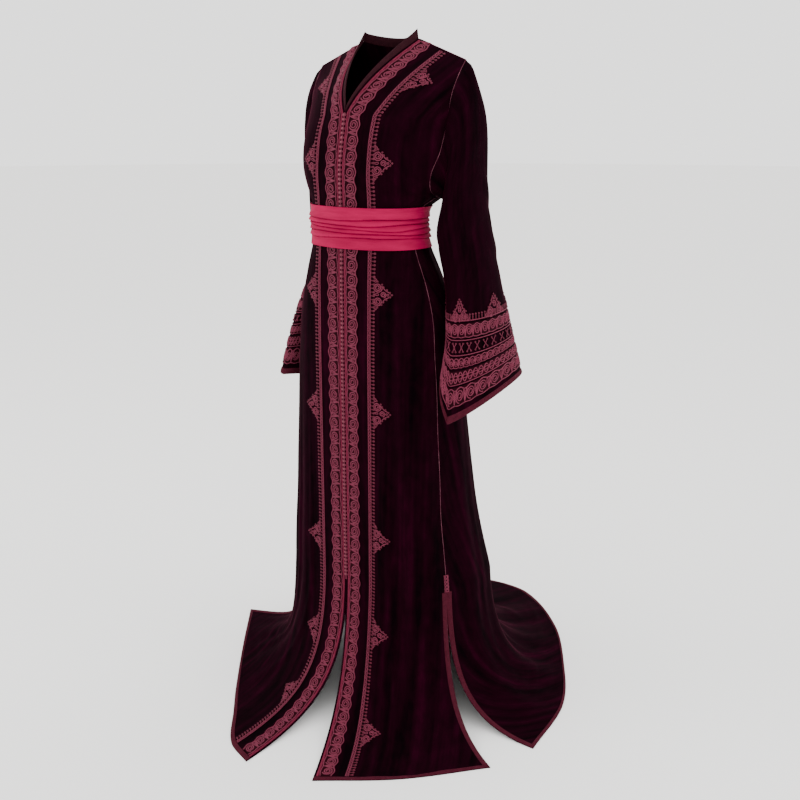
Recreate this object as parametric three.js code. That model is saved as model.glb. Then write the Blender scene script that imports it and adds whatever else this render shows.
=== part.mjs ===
// A velvet caftan of the Moroccan kind, in its worn shape and hollow.
// Millimetres, +Z up. The front faces -Y and the wearer's left is +X.
// The origin is the middle of the neck, level with the neck ends of the shoulder seams.
// Heights below are measured up from the floor that the hem trails on.

import * as THREE from 'three';

// ---------------------------------------------------------------- driving sizes

const NECK_HEIGHT = 1460; // neck end of the shoulder seam
const SHOULDER_HEIGHT = 1415; // outer end of the shoulder seam
const NECK_HALF = 72; // half the neck's width at the shoulder seams
const SHOULDER_HALF = 190;
const BACK_NECK_DROP = 12;
const V_HEIGHT = 1314; // bottom of the V
const BUST_HEIGHT = 1240; // last row that still follows the shoulder slope
const UNDERARM_HEIGHT = 1150;
const WAIST_HEIGHT = 1087; // the panels are seamed here, under the sash
const SLIT_HEIGHT = 300; // the side slits and the parting of the fronts start here

const VELVET = 2; // wall of every velvet piece
const BRAID = 1.2;
const CORDED = 1.8;
const SEAM = 0.3; // gap between two pieces
const FRONT_GAP_HALF = SEAM * 0.7; // of the gap between the two fronts
const ARMHOLE_EASE = 1.4; // the same where the sleeves' walls meet the body's at an angle
const APPLIQUE_LOW = VELVET / 2 + SEAM * 3.3; // corded pieces that cross the velvet's facets
const SHOULDER_SETBACK = 1.5; // the two walls meet at an angle there
const TRIM_SETBACK = 4.5; // of the braids, which lie over the walls
const BINDING_WIDTH = 12;

const ROUNDNESS = 2.4; // power of the body's superelliptic sections
const SLEEVE_ROUNDNESS = 2.2;
const SHOULDER_FALL = 220; // the depth of the chest is reached this far below the shoulder line
const SHOULDER_POWER = 2.2;
const BACK_NECK_RISE = 0.8; // slope of the shoulder line carried on behind the neck

// Distances of the trims from the front edge: flat braid, scroll braid, plain velvet, edging, picots.
const TRIM_LINES = [0, 10, 41, 64, 72, 83];
const FLAT_BRAID = 0;
const SCROLL_BRAID = 1;
const EDGING = 3;
const EDGING_END = 5;

const FRONT_COLUMNS = 14;
const BACK_COLUMNS = 24;
const BACK_NECK_COLUMN = 7; // this column of the back starts at the neck end of the shoulder
const BACK_NECK_SHARE = 0.2965; // share of the back's upper edge that each shoulder takes
const SLEEVE_COLUMNS = 20;
const BELT_COLUMNS = 32;

// ---------------------------------------------------------------- tables

function table(columns, rows) {
  return rows.map((row) => Object.fromEntries(columns.map((name, k) => [name, row[k]])));
}

// Level sections of the body: half width at the sides, y of the centre front, the centre back
// and the sides, and the turn in degrees from the centre front to the side seam.
const BODY = table(['height', 'half', 'front', 'back', 'side', 'seam'], [
  [220, 240, -157, 186, 10, 64],
  [300, 236, -157, 156, 4, 65],
  [380, 228, -157, 126, -4, 66],
  [470, 217, -157, 108, -12, 67],
  [560, 210, -157, 100, -20, 69],
  [660, 203, -157, 92, -26, 70],
  [750, 197, -157, 88, -33, 72],
  [830, 190, -157, 82, -37, 73],
  [900, 182, -156, 70, -41, 75],
  [970, 162, -156, 50, -46, 77],
  [1045, 132, -155, 26, -55, 80],
  [1087, 126, -155, 14, -60, 83],
  [1125, 131, -156, 20, -54, 87],
  [1150, 150, -156, 52, -30, 90],
  [1195, 175, -157, 76, -11, 90],
  [1240, 184, -152, 88, -1, 90],
  [1310, 190, -140, 95, 7, 90],
  [1365, 204, -132, 97, 9, 90],
  [1420, 216, -124, 96, 10, 90],
  [1460, 220, -118, 92, 10, 90],
]);

// Half width at the armhole seam.
const ARMHOLE = table(['height', 'half'], [
  [1150, 151],
  [1195, 165],
  [1240, 176],
  [1310, 181],
  [1365, 185],
  [1415, 189],
]);

// Rows of the body panels: shares of the fall from the shoulder to the bust, level heights
// below it, and the steps of the curve that each column then takes to the hem.
const CHEST_ROWS = [0, 0.16, 0.33, 0.5, 0.6636, 0.84, 1];
const LEVEL_ROWS = [1195, 1150, 1125, 1087, 1045, 970, 890, 780, 660, 540, 420, 300];
const TRAIN_ROWS = [0.2, 0.4, 0.56, 0.72, 0.87, 0.984, 1];
const TRAIN_FALL = 105; // height that a column aims at as it leaves the slit level
const TRAIN_FLARE = 1.04; // and how far it spreads on the way there

// The hem on the floor, one table a panel, by the share of the panel's width, and the place
// at which that part of the cloth meets the floor.
const HEM_FIELDS = ['share', 'x', 'y', 'landX', 'landY'];
const HEM_RIGHT = table(HEM_FIELDS, [
  [0, -8, -481, -4, -225],
  [0.13, -84, -452, -36, -222],
  [0.3, -165, -368, -90, -200],
  [0.44, -236, -292, -140, -178],
  [0.72, -366, -143, -240, -80],
  [1, -490, 6, -330, 75],
]);
const HEM_LEFT = table(HEM_FIELDS, [
  [0, 145, -444, 28, -228],
  [0.5, 286, -330, 165, -210],
  [1, 411, -187, 268, -112],
]);
const HEM_BACK = table(HEM_FIELDS, [
  [0, 449, -76, 276, -84],
  [0.13, 420, 110, 312, 20],
  [0.27, 335, 273, 268, 172],
  [0.4, 222, 433, 182, 268],
  [0.55, 64, 556, 62, 322],
  [0.64, -55, 562, -50, 324],
  [0.75, -196, 508, -152, 286],
  [0.87, -306, 372, -238, 208],
  [1, -380, 172, -296, 92],
]);

// Soft standing folds of the skirt. Share of the panel's width under the belt and at the hem,
// height at which the fold starts, its reach at the slit level and its width as a share.
const FOLDS_RIGHT = table(['top', 'hem', 'start', 'reach', 'width'], [
  [0.62, 0.55, 940, 7, 0.1],
  [0.86, 0.8, 1000, 9, 0.09],
]);
const FOLDS_LEFT = table(['top', 'hem', 'start', 'reach', 'width'], [
  [0.5, 0.36, 900, 7, 0.07],
  [0.62, 0.74, 1010, 12, 0.09],
  [0.84, 0.92, 1000, 7, 0.07],
]);
const FOLDS_BACK = table(['top', 'hem', 'start', 'reach', 'width'], [
  [0.08, 0.1, 1000, 9, 0.035],
  [0.2, 0.22, 1010, 14, 0.045],
  [0.33, 0.35, 990, 13, 0.045],
  [0.47, 0.47, 1010, 15, 0.05],
  [0.6, 0.6, 990, 13, 0.045],
  [0.74, 0.73, 1010, 14, 0.045],
  [0.89, 0.88, 1000, 9, 0.04],
]);

const FOLD_EDGE = 0.06; // share of a panel's width over which its folds die out at a side
const FOLD_HEM_ROWS = 3; // and rows over which they die out at the hem

// Sections of each sleeve, from the upper arm to the mouth: the centre, the vectors to the
// outer and the inner side, and half the width from front to back.
const SLEEVE_FIELDS = [
  'x', 'y', 'height',
  'outX', 'outY', 'outZ',
  'inX', 'inY', 'inZ',
  'backX', 'backY', 'backZ',
];
const SLEEVE_LEFT = table(SLEEVE_FIELDS, [
  [194, 0, 1240, 25, 6, 108, -16, -6, -112, 0, 52, 0],
  [192, 2, 1110, 37, 4, 45, -34, 0, -55, 0, 70, 0],
  [204, 24, 985, 44, 0, 8, -42, 0, -15, 0, 76, 0],
  [228, 16, 865, 46, 0, 0, -38, 0, 20, 0, 100, 8],
  [260, -12, 735, 50, -5, 26, -56, 0, 96, 0, 130, 27],
]);
const SLEEVE_RIGHT = table(SLEEVE_FIELDS, [
  [190, 8, 1240, 27, 6, 108, -12, -6, -112, 0, 52, 0],
  [190, 30, 1110, 34, 0, 45, -34, 0, -55, 0, 60, 0],
  [192, 50, 980, 40, 0, 8, -40, 0, -15, 0, 74, 0],
  [230, 46, 850, 34, 0, 0, -24, 0, 8, 0, 96, -8],
  [256, 40, 700, 33, -5, 8, -36, 0, 8, 8, 124, -24],
]);
// Rows of a sleeve, in steps of the table above, 0 being the armhole.
const SLEEVE_ROWS = [0, 0.4, 0.8, 1.3, 1.8, 2.3, 2.8, 3.2, 3.6, 4, 4.45, 4.86, 4.91, 5];
const CUFF_ROWS = [3.56, 3.6, 4, 4.45, 4.86];
const CUFF_POINT = 0.34; // height of the cuff's pointed motifs, in the same steps
const CUFF_POINT_SPACING = 4; // columns of the sleeve

// Triangular motifs beyond the edging: distance of each down the edging from the shoulder.
const MOTIF_PLACES = {
  left: [95, 287, 549, 801, 1087, 1312, 1534],
  right: [103, 283, 553, 812, 1120, 1352, 1515],
};
const MOTIF_BASE = 68;
const MOTIF_REACH = 35;
const MOTIF_TIP = 6;
const MOTIF_CLEARANCE = SEAM * 2.5; // from the edging

// The sash from its lower to its upper edge: height above the lower edge and relief of each pleat.
const BELT_LOW = 1045;
const BELT_WIDTH = 84;
const BELT_WALL = 2;
const BELT_CLEARANCE = 4;
const BELT_OVER_BUTTONS = 2.4;
const BELT_BULGE_WIDTH = 26;
const BELT_PLEATS = table(['up', 'relief'], [
  [0, 0],
  [20, 0.4],
  [24, 2.6],
  [33, 0.6],
  [37, 2.8],
  [47, 0.8],
  [51, 2.6],
  [59, 0.6],
  [63, 2.4],
  [69, 0.2],
  [BELT_WIDTH, 0],
]);

const CREST = 0.6; // share of a raised cord's width that is flat on top
const BUTTON_ROW_HALF = 6.5;
const BUTTON_ROW_LOW = 2.9; // above the middle of the velvet
const BUTTON_ROW_HIGH = 5;

const NECKBAND_STAND = 19; // height beside and behind the neck
const NECKBAND_FOOT = 5; // height at the bottom of the V
const NECKBAND_WALL = 2;
const NECKBAND_LIFT = 0.9; // of its foot off the cut edge of the neck
const NECKBAND_UPRIGHT = 0.85; // how far it stands upright at the shoulder seams
const NECKBAND_LEAN = 0.15; // slope forwards behind the neck
const NECKBAND_DEPTH = 66.7; // of the oval that it turns round behind the neck

const SLIT_KNOT_HEIGHT = 40;
const SLIT_KNOT_HALF = 5;
const SLIT_KNOT_HIGH = 5;
const SLIT_KNOT_STEPS = [0, 0.35, 0.7, 1];
const SLIT_KNOT_TAPER = 0.35; // share by which its ends are narrower

const COLOURS = {
  velvet: 0x2c0a1c,
  braid: 0x8c4a5e,
  corded: 0x9c586a,
  sash: 0xd2407c,
};

// ---------------------------------------------------------------- small mathematics

const vector = (x, y, z) => new THREE.Vector3(x, y, z);
const mix = (from, to, share) => from + (to - from) * share;
const clamp = (value, low, high) => Math.min(high, Math.max(low, value));
const smooth = (share) => {
  const s = clamp(share, 0, 1);
  return s * s * (3 - 2 * s);
};

// A smooth curve through one column of a table, against another column that rises.
function read(rows, key, value, column) {
  const last = rows.length - 1;
  let k = rows.findIndex((row) => row[key] > value) - 1;
  if (k < 0) k = value <= rows[0][key] ? 0 : last - 1;
  const slope = (i) => {
    const a = rows[Math.max(0, i - 1)];
    const b = rows[Math.min(last, i + 1)];
    return (b[column] - a[column]) / (b[key] - a[key]);
  };
  const width = rows[k + 1][key] - rows[k][key];
  const t = clamp((value - rows[k][key]) / width, 0, 1);
  const rise = t * t * (3 - 2 * t);
  return mix(rows[k][column], rows[k + 1][column], rise)
    + slope(k) * width * t * (1 - t) ** 2
    - slope(k + 1) * width * t * t * (1 - t);
}

// ---------------------------------------------------------------- the body's surface

// Height of the shoulder seam's line over a point at this distance from the middle.
function shoulderLine(x) {
  if (x < NECK_HALF) return NECK_HEIGHT + BACK_NECK_RISE * (NECK_HALF - x);
  const fall = (NECK_HEIGHT - SHOULDER_HEIGHT) / (SHOULDER_HALF - NECK_HALF);
  return NECK_HEIGHT - fall * (x - NECK_HALF);
}

// A point of the body at a height, by the turn from the centre front (0) past a side (90 degrees).
function bodyPoint(height, turn, hand) {
  const half = read(BODY, 'height', height, 'half');
  const side = read(BODY, 'height', height, 'side');
  const x = half * Math.abs(Math.sin(turn)) ** (2 / ROUNDNESS);
  const reach = Math.abs(Math.cos(turn)) ** (2 / ROUNDNESS);
  const drop = clamp((shoulderLine(x) - height) / SHOULDER_FALL, 0, 1);
  const fill = 1 - (1 - drop) ** SHOULDER_POWER;
  const middle = read(BODY, 'height', height, Math.cos(turn) > 0 ? 'front' : 'back');
  return vector(hand * x, mix(side, middle, reach * fill), height - NECK_HEIGHT);
}

// The turn at which the body is this far from the middle.
function turnAt(height, x) {
  const share = clamp(x / read(BODY, 'height', height, 'half'), 0, 1);
  return Math.asin(share ** (ROUNDNESS / 2));
}

// How far the front edge lies from the middle: the V opens from its bottom to the neck.
function frontEdge(height) {
  return mix(FRONT_GAP_HALF, NECK_HALF, clamp((height - V_HEIGHT) / (NECK_HEIGHT - V_HEIGHT), 0, 1));
}

const armholeHalf = (height) => read(ARMHOLE, 'height', height, 'half');
const seamTurn = (height) => THREE.MathUtils.degToRad(read(BODY, 'height', height, 'seam'));

// Where a front ends: at the armhole seam, and below the underarm at the side seam.
function frontTurn(height) {
  return height > UNDERARM_HEIGHT ? turnAt(height, armholeHalf(height)) : seamTurn(height);
}

// The same edge, measured from the centre back.
function backTurn(height) {
  return height > UNDERARM_HEIGHT ? turnAt(height, armholeHalf(height)) : Math.PI - seamTurn(height);
}

// The level direction straight out of the body.
function outwardAt(height, turn, hand) {
  const STEP = 0.02;
  const ahead = bodyPoint(height, Math.min(turn + STEP, Math.PI), hand);
  const behind = bodyPoint(height, Math.max(turn - STEP, 0), hand);
  const along = ahead.sub(behind).normalize();
  return vector(along.y * hand, -along.x * hand, 0).normalize();
}

// One row of a front: a function of the share from the front edge to the side.
function frontRow(level, hand, hem) {
  return (share) => {
    if (level.chest !== undefined) {
      const height = mix(mix(NECK_HEIGHT, SHOULDER_HEIGHT, share), BUST_HEIGHT, level.chest);
      const inner = frontEdge(mix(NECK_HEIGHT, BUST_HEIGHT, level.chest));
      const outer = armholeHalf(mix(SHOULDER_HEIGHT, BUST_HEIGHT, level.chest));
      return bodyPoint(height, turnAt(height, mix(inner, outer, share)), hand);
    }
    const height = level.height ?? SLIT_HEIGHT;
    const turn = mix(turnAt(height, frontEdge(height)), frontTurn(height), share);
    const point = bodyPoint(height, turn, hand);
    return level.train === undefined ? point : trainPoint(point, level.train, hem, share);
  };
}

// One row of the back: from the wearer's left side, round behind, to the right side.
function backRow(level, hem) {
  const neckTop = (x) => NECK_HEIGHT - BACK_NECK_DROP * (1 - (x / NECK_HALF) ** 2);
  return (share) => {
    const across = 1 - 2 * share;
    const hand = across < 0 ? -1 : 1;
    if (level.chest !== undefined) {
      const x = Math.abs(across) * armholeHalf(mix(SHOULDER_HEIGHT, BUST_HEIGHT, level.chest));
      const topX = Math.abs(across) * SHOULDER_HALF;
      const top = topX < NECK_HALF ? neckTop(topX) : shoulderLine(topX);
      const height = mix(top, BUST_HEIGHT, level.chest);
      return bodyPoint(height, Math.PI - turnAt(height, x), hand);
    }
    const height = level.height ?? SLIT_HEIGHT;
    const turn = Math.PI - backTurn(height) * Math.abs(across);
    const point = bodyPoint(height, turn, hand);
    return level.train === undefined ? point : trainPoint(point, level.train, hem, share);
  };
}

// Below the slits each column falls, lands on the floor and runs out to the hem.
function trainPoint(start, step, hem, share) {
  const floor = VELVET / 2 - NECK_HEIGHT;
  const along = (column) => read(hem, 'share', share, column);
  const fall = vector(start.x * TRAIN_FLARE, start.y * TRAIN_FLARE, TRAIN_FALL - NECK_HEIGHT);
  const landing = vector(along('landX'), along('landY'), floor);
  const end = vector(along('x'), along('y'), floor);
  return new THREE.CubicBezierCurve3(start, fall, landing, end).getPoint(step);
}

const LEVELS = [
  ...CHEST_ROWS.map((chest) => ({ chest })),
  ...LEVEL_ROWS.map((height) => ({ height })),
  ...TRAIN_ROWS.map((train) => ({ train })),
];
const V_ROW = 4;
const UNDERARM_ROW = CHEST_ROWS.length + LEVEL_ROWS.indexOf(UNDERARM_HEIGHT);
const WAIST_ROW = CHEST_ROWS.length + LEVEL_ROWS.indexOf(WAIST_HEIGHT);
const SLIT_ROW = CHEST_ROWS.length + LEVEL_ROWS.length - 1;
const HEM_ROW = LEVELS.length - 1;

// Places the points of a row at lengths along it. The lengths are worked out from its whole length.
function placeAlong(row, lengthsOf) {
  const SAMPLES = 120;
  const points = [];
  const run = [0];
  for (let k = 0; k <= SAMPLES; k += 1) {
    points.push(row(k / SAMPLES));
    if (k > 0) run.push(run[k - 1] + points[k].distanceTo(points[k - 1]));
  }
  const whole = run[SAMPLES];
  return lengthsOf(whole).map((length) => {
    const k = clamp(run.findIndex((value) => value >= length - 1e-9), 1, SAMPLES);
    const share = (length - run[k - 1]) / (run[k] - run[k - 1]);
    return points[k - 1].clone().lerp(points[k], share);
  });
}

function frontLengths(whole) {
  const free = FRONT_COLUMNS - TRIM_LINES.length - 1;
  const first = TRIM_LINES[EDGING_END];
  const last = whole - BINDING_WIDTH;
  const between = Array.from({ length: free }, (_, k) => mix(first, last, (k + 1) / free));
  return [...TRIM_LINES, ...between, whole];
}

function backLengths(whole) {
  const neck = whole * BACK_NECK_SHARE;
  const lengths = [0];
  for (let k = 1; k < BACK_COLUMNS - 1; k += 1) {
    const fromLeft = Math.min(k, BACK_COLUMNS - 1 - k);
    const span = BACK_COLUMNS - 1 - 2 * BACK_NECK_COLUMN;
    const outer = mix(BINDING_WIDTH, neck, (fromLeft - 1) / (BACK_NECK_COLUMN - 1));
    const middle = mix(neck, whole - neck, (k - BACK_NECK_COLUMN) / span);
    const mirrored = k > BACK_COLUMNS / 2 ? whole - outer : outer;
    lengths.push(fromLeft < BACK_NECK_COLUMN ? mirrored : middle);
  }
  return [...lengths, whole];
}

// ---------------------------------------------------------------- grids of points

// A grid holds rows of points and the outward normal at each. side turns the normals over.
function makeGrid(points, side, closed = false) {
  const last = points.length - 1;
  const width = points[0].length;
  const normals = points.map((row, i) => row.map((_, j) => {
    const up = points[Math.max(0, i - 1)][j];
    const down = points[Math.min(last, i + 1)][j];
    const before = closed ? row[(j + width - 1) % width] : row[Math.max(0, j - 1)];
    const after = closed ? row[(j + 1) % width] : row[Math.min(width - 1, j + 1)];
    const along = down.clone().sub(up);
    const across = after.clone().sub(before);
    return along.cross(across).multiplyScalar(side).normalize();
  }));
  return { points, normals, closed };
}

// The point and normal between the rows and columns of a grid, on the two flat triangles of a cell.
function gridAt(grid, row, column) {
  const width = grid.points[0].length;
  const i = clamp(Math.floor(row), 0, grid.points.length - 2);
  const j = grid.closed ? Math.floor(column) : clamp(Math.floor(column), 0, width - 2);
  const [u, v] = [row - i, column - j];
  const [a, b] = grid.closed ? [j % width, (j + 1) % width] : [j, j + 1];
  const blend = (field) => {
    const [start, end] = [grid[field][i][a], grid[field][i + 1][b]];
    const corner = u > v ? grid[field][i + 1][a] : grid[field][i][b];
    return start.clone().multiplyScalar(1 - Math.max(u, v))
      .addScaledVector(corner, Math.abs(u - v))
      .addScaledVector(end, Math.min(u, v));
  };
  return { point: blend('points'), normal: blend('normals') };
}

// Soft ridges laid on the lower part of a panel.
function addFolds(grid, folds) {
  const shares = grid.points.map((row) => {
    const run = [0];
    for (let j = 1; j < row.length; j += 1) run.push(run[j - 1] + row[j].distanceTo(row[j - 1]));
    return run.map((length) => length / run[run.length - 1]);
  });
  const last = grid.points.length - 1;
  return grid.points.map((row, i) => row.map((point, j) => {
    const height = point.z + NECK_HEIGHT;
    const fade = smooth((last - i) / FOLD_HEM_ROWS);
    let push = 0;
    for (const fold of folds) {
      const down = smooth((fold.start - height) / (fold.start - SLIT_HEIGHT));
      const middle = mix(fold.top, fold.hem, clamp((fold.start - height) / fold.start, 0, 1));
      const away = (shares[i][j] - middle) / fold.width;
      push += fold.reach * down * Math.exp(-away * away);
    }
    const edge = smooth(Math.min(shares[i][j], 1 - shares[i][j]) / FOLD_EDGE);
    return point.clone().addScaledVector(grid.normals[i][j], push * fade * edge);
  }));
}

// ---------------------------------------------------------------- solids

function solid(positions, triangles) {
  let volume = 0;
  for (const [a, b, c] of triangles) {
    volume += positions[a].dot(positions[b].clone().cross(positions[c]));
  }
  const turned = volume < 0 ? triangles.map(([a, b, c]) => [a, c, b]) : triangles;
  const geometry = new THREE.BufferGeometry();
  geometry.setAttribute('position', new THREE.Float32BufferAttribute(
    positions.flatMap((p) => [p.x, p.y, p.z]), 3));
  geometry.setIndex(turned.flat());
  geometry.computeVertexNormals();
  return geometry;
}

// A wall on some cells of a grid, between two distances from it along the normals. Its border is
// drawn in by the inset all round, and by top(column) along the first row where that is more.
function wall(grid, low, high, options = {}) {
  const { cell = () => true, inset = SEAM / 2, top = () => 0 } = options;
  const rows = grid.points.length;
  const width = grid.points[0].length;
  const columns = grid.closed ? width : width - 1;
  const inside = (i, j) => {
    const k = grid.closed ? (j + width) % width : j;
    return i >= 0 && i < rows - 1 && k >= 0 && k < columns && cell(i, k);
  };
  const at = (i, j) => grid.points[i][grid.closed ? (j + width) % width : j];
  const index = new Map();
  const positions = [];
  const vertex = (i, j) => {
    const k = grid.closed ? (j + width) % width : j;
    const key = `${i},${k}`;
    if (!index.has(key)) {
      const toward = vector(0, 0, 0);
      const cells = [[i - 1, k - 1], [i - 1, k], [i, k - 1], [i, k]].filter(([a, b]) => inside(a, b));
      if (cells.length < 4) {
        const size = i === 0 ? Math.max(inset, top(k)) : inset;
        for (const [a, b] of cells) {
          const acrossStep = at(i, b === k ? k + 1 : k - 1).clone().sub(at(i, k));
          const alongStep = at(a === i ? i + 1 : i - 1, k).clone().sub(at(i, k));
          toward.add(acrossStep.normalize()).add(alongStep.normalize());
        }
        if (toward.length() > 0) toward.setLength(cells.length === 1 ? size * Math.SQRT2 : size);
      }
      const point = at(i, k).clone().add(toward);
      const normal = grid.normals[i][k];
      index.set(key, positions.length);
      positions.push(point.clone().addScaledVector(normal, high));
      positions.push(point.clone().addScaledVector(normal, low));
    }
    return index.get(key);
  };
  const triangles = [];
  const quad = (a, b, c, d) => triangles.push([a, b, c], [a, c, d]);
  for (let i = 0; i < rows - 1; i += 1) {
    for (let j = 0; j < columns; j += 1) {
      if (!inside(i, j)) continue;
      const [a, b, c, d] = [vertex(i, j), vertex(i + 1, j), vertex(i + 1, j + 1), vertex(i, j + 1)];
      quad(a, b, c, d);
      quad(a + 1, d + 1, c + 1, b + 1);
      if (!inside(i, j - 1)) quad(b, a, a + 1, b + 1);
      if (!inside(i, j + 1)) quad(d, c, c + 1, d + 1);
      if (!inside(i - 1, j)) quad(a, d, d + 1, a + 1);
      if (!inside(i + 1, j)) quad(c, b, b + 1, c + 1);
    }
  }
  return solid(positions, triangles);
}

// A body swept through loops of points that all have the same count.
function sweep(loops, closed) {
  const size = loops[0].length;
  const positions = loops.flat();
  const triangles = [];
  const steps = closed ? loops.length : loops.length - 1;
  for (let i = 0; i < steps; i += 1) {
    const next = (i + 1) % loops.length;
    for (let k = 0; k < size; k += 1) {
      const [a, b] = [i * size + k, i * size + ((k + 1) % size)];
      const [c, d] = [next * size + ((k + 1) % size), next * size + k];
      triangles.push([a, b, c], [a, c, d]);
    }
  }
  if (!closed) {
    const end = (loops.length - 1) * size;
    for (let k = 1; k < size - 1; k += 1) {
      triangles.push([0, k + 1, k], [end, end + k, end + k + 1]);
    }
  }
  return solid(positions, triangles);
}

// ---------------------------------------------------------------- the model

const caftan = new THREE.Group();

function add(name, geometry, finish) {
  const roughness = finish === 'velvet' ? 0.9 : 0.7;
  const material = new THREE.MeshStandardMaterial({ color: COLOURS[finish], roughness, metalness: 0 });
  const mesh = new THREE.Mesh(geometry, material);
  mesh.name = name;
  caftan.add(mesh);
}

function panelGrid(rowOf, lengths, folds, side) {
  const points = LEVELS.map((level) => placeAlong(rowOf(level), lengths));
  return makeGrid(addFolds(makeGrid(points, side), folds), side);
}

const fronts = {
  left: panelGrid((level) => frontRow(level, 1, HEM_LEFT), frontLengths, FOLDS_LEFT, 1),
  right: panelGrid((level) => frontRow(level, -1, HEM_RIGHT), frontLengths, FOLDS_RIGHT, -1),
};
const back = panelGrid((level) => backRow(level, HEM_BACK), backLengths, FOLDS_BACK, 1);

// Each panel is a bodice and a skirt, which meet at the waist seam.
function addPanels() {
  const half = VELVET / 2;
  const top = () => SHOULDER_SETBACK;
  for (const [side, grid] of Object.entries({ ...fronts, back })) {
    const bodice = { top, cell: (i) => i < WAIST_ROW };
    const skirt = { cell: (i) => i >= WAIST_ROW };
    add(`bodice_${side}`, wall(grid, -half, half, bodice), 'velvet');
    add(`skirt_${side}`, wall(grid, -half, half, skirt), 'velvet');
  }
}

// Strips on a front that keep its rows from first to last and its columns between two trim lines.
function addFrontTrims() {
  const low = VELVET / 2 + SEAM;
  const strips = [
    { name: 'flat_braid', from: FLAT_BRAID, to: SCROLL_BRAID, thick: BRAID, finish: 'braid' },
    { name: 'scroll_braid', from: SCROLL_BRAID, to: SCROLL_BRAID + 1, thick: CORDED, finish: 'corded' },
    { name: 'edging', from: EDGING, to: EDGING_END, thick: BRAID, finish: 'corded' },
  ];
  for (const [hand, grid] of Object.entries(fronts)) {
    for (const strip of strips) {
      const cell = (i, j) => i < HEM_ROW - 1 && j >= strip.from && j < strip.to;
      const shape = wall(grid, low, low + strip.thick, { cell, top: () => TRIM_SETBACK });
      add(`${strip.name}_${hand}`, shape, strip.finish);
    }
  }
}

// The share of a row that lies this far down a column from its start.
function rowAtLength(grid, column, length) {
  let run = 0;
  for (let i = 1; i < grid.points.length; i += 1) {
    const step = grid.points[i][column].distanceTo(grid.points[i - 1][column]);
    if (run + step >= length) return i - 1 + (length - run) / step;
    run += step;
  }
  return grid.points.length - 1;
}

// The column that lies this far along a row of the grid.
function columnAtLength(grid, row, length) {
  const at = (j) => gridAt(grid, row, j).point;
  let run = 0;
  for (let j = 1; j < grid.points[0].length; j += 1) {
    const step = at(j).distanceTo(at(j - 1));
    if (run + step >= length) return j - 1 + (length - run) / step;
    run += step;
  }
  return grid.points[0].length - 1;
}

function motifGrid(grid, place) {
  const ACROSS = 4;
  const ALONG = 4;
  const start = TRIM_LINES[EDGING_END] + MOTIF_CLEARANCE;
  const points = [];
  const normals = [];
  for (let a = 0; a <= ALONG; a += 1) {
    const row = [];
    const facing = [];
    for (let k = 0; k <= ACROSS; k += 1) {
      const out = k / ACROSS;
      const halfBase = mix(MOTIF_BASE / 2, MOTIF_TIP / 2, out);
      const along = place + halfBase * (2 * a / ALONG - 1);
      const atRow = rowAtLength(grid, EDGING_END, along);
      const spot = gridAt(grid, atRow, columnAtLength(grid, atRow, start + out * MOTIF_REACH));
      row.push(spot.point);
      facing.push(spot.normal);
    }
    points.push(row);
    normals.push(facing);
  }
  return { points, normals, closed: false };
}

function addMotifs() {
  for (const [hand, grid] of Object.entries(fronts)) {
    MOTIF_PLACES[hand].forEach((place, k) => {
      const shape = wall(motifGrid(grid, place), APPLIQUE_LOW, APPLIQUE_LOW + CORDED, { inset: 0 });
      add(`motif_${hand}_${k + 1}`, shape, 'corded');
    });
  }
}

// Braid that binds the slit edges and the hem of a panel.
function addHemBindings() {
  const low = VELVET / 2 + SEAM;
  const onHem = (i) => i === HEM_ROW - 1;
  for (const [hand, grid] of Object.entries(fronts)) {
    const cell = (i, j) => i >= SLIT_ROW && (onHem(i) || j === FRONT_COLUMNS - 2);
    add(`hem_binding_${hand}`, wall(grid, low, low + BRAID, { cell, inset: SEAM }), 'braid');
  }
  const onSlit = (j) => j === 0 || j === BACK_COLUMNS - 2;
  const cell = (i, j) => i >= SLIT_ROW && (onHem(i) || onSlit(j));
  add('hem_binding_back', wall(back, low, low + BRAID, { cell, inset: SEAM }), 'braid');
}

// The loop of the armhole, from the shoulder down the front and up the back. A step of 1 gives
// the panels' outermost column, and a step of 2 the one beside it.
function armhole(hand, step) {
  const rows = UNDERARM_ROW + 1;
  const column = hand === 'left' ? step - 1 : BACK_COLUMNS - step;
  const front = fronts[hand].points.slice(0, rows).map((row) => row[FRONT_COLUMNS - step]);
  const behind = back.points.slice(0, rows).map((row) => row[column]).reverse();
  const path = (points) => {
    const curve = new THREE.CurvePath();
    for (let k = 1; k < points.length; k += 1) curve.add(new THREE.LineCurve3(points[k - 1], points[k]));
    return curve;
  };
  const [down, up] = [path(front), path(behind)];
  return (share) => (share < 0.5 ? down.getPointAt(share * 2) : up.getPointAt(share * 2 - 1));
}

// How far the sleeve's wall keeps from the armhole line, so that two walls that meet at an angle
// stay a seam's gap apart. It is worked out for each column from the angle between them.
function armholeSetback(hand, grid) {
  const STEP = 0.02;
  const half = VELVET / 2;
  const [edge, inner] = [armhole(hand, 1), armhole(hand, 2)];
  return (column) => {
    const share = column / SLEEVE_COLUMNS;
    const along = edge((share + STEP) % 1).sub(edge((share + 1 - STEP) % 1)).normalize();
    const square = (v) => v.addScaledVector(along, -v.dot(along)).normalize();
    const panel = square(edge(share).sub(inner(share)));
    const sleeve = square(grid.points[1][column].clone().sub(grid.points[0][column]));
    const turn = panel.angleTo(sleeve);
    const beside = (half * Math.sin(turn) + ARMHOLE_EASE) / Math.cos(turn);
    const over = (half * (1 - Math.cos(turn)) + ARMHOLE_EASE) / Math.sin(turn);
    return turn < Math.PI / 2 ? Math.min(beside, over) : over;
  };
}

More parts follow.
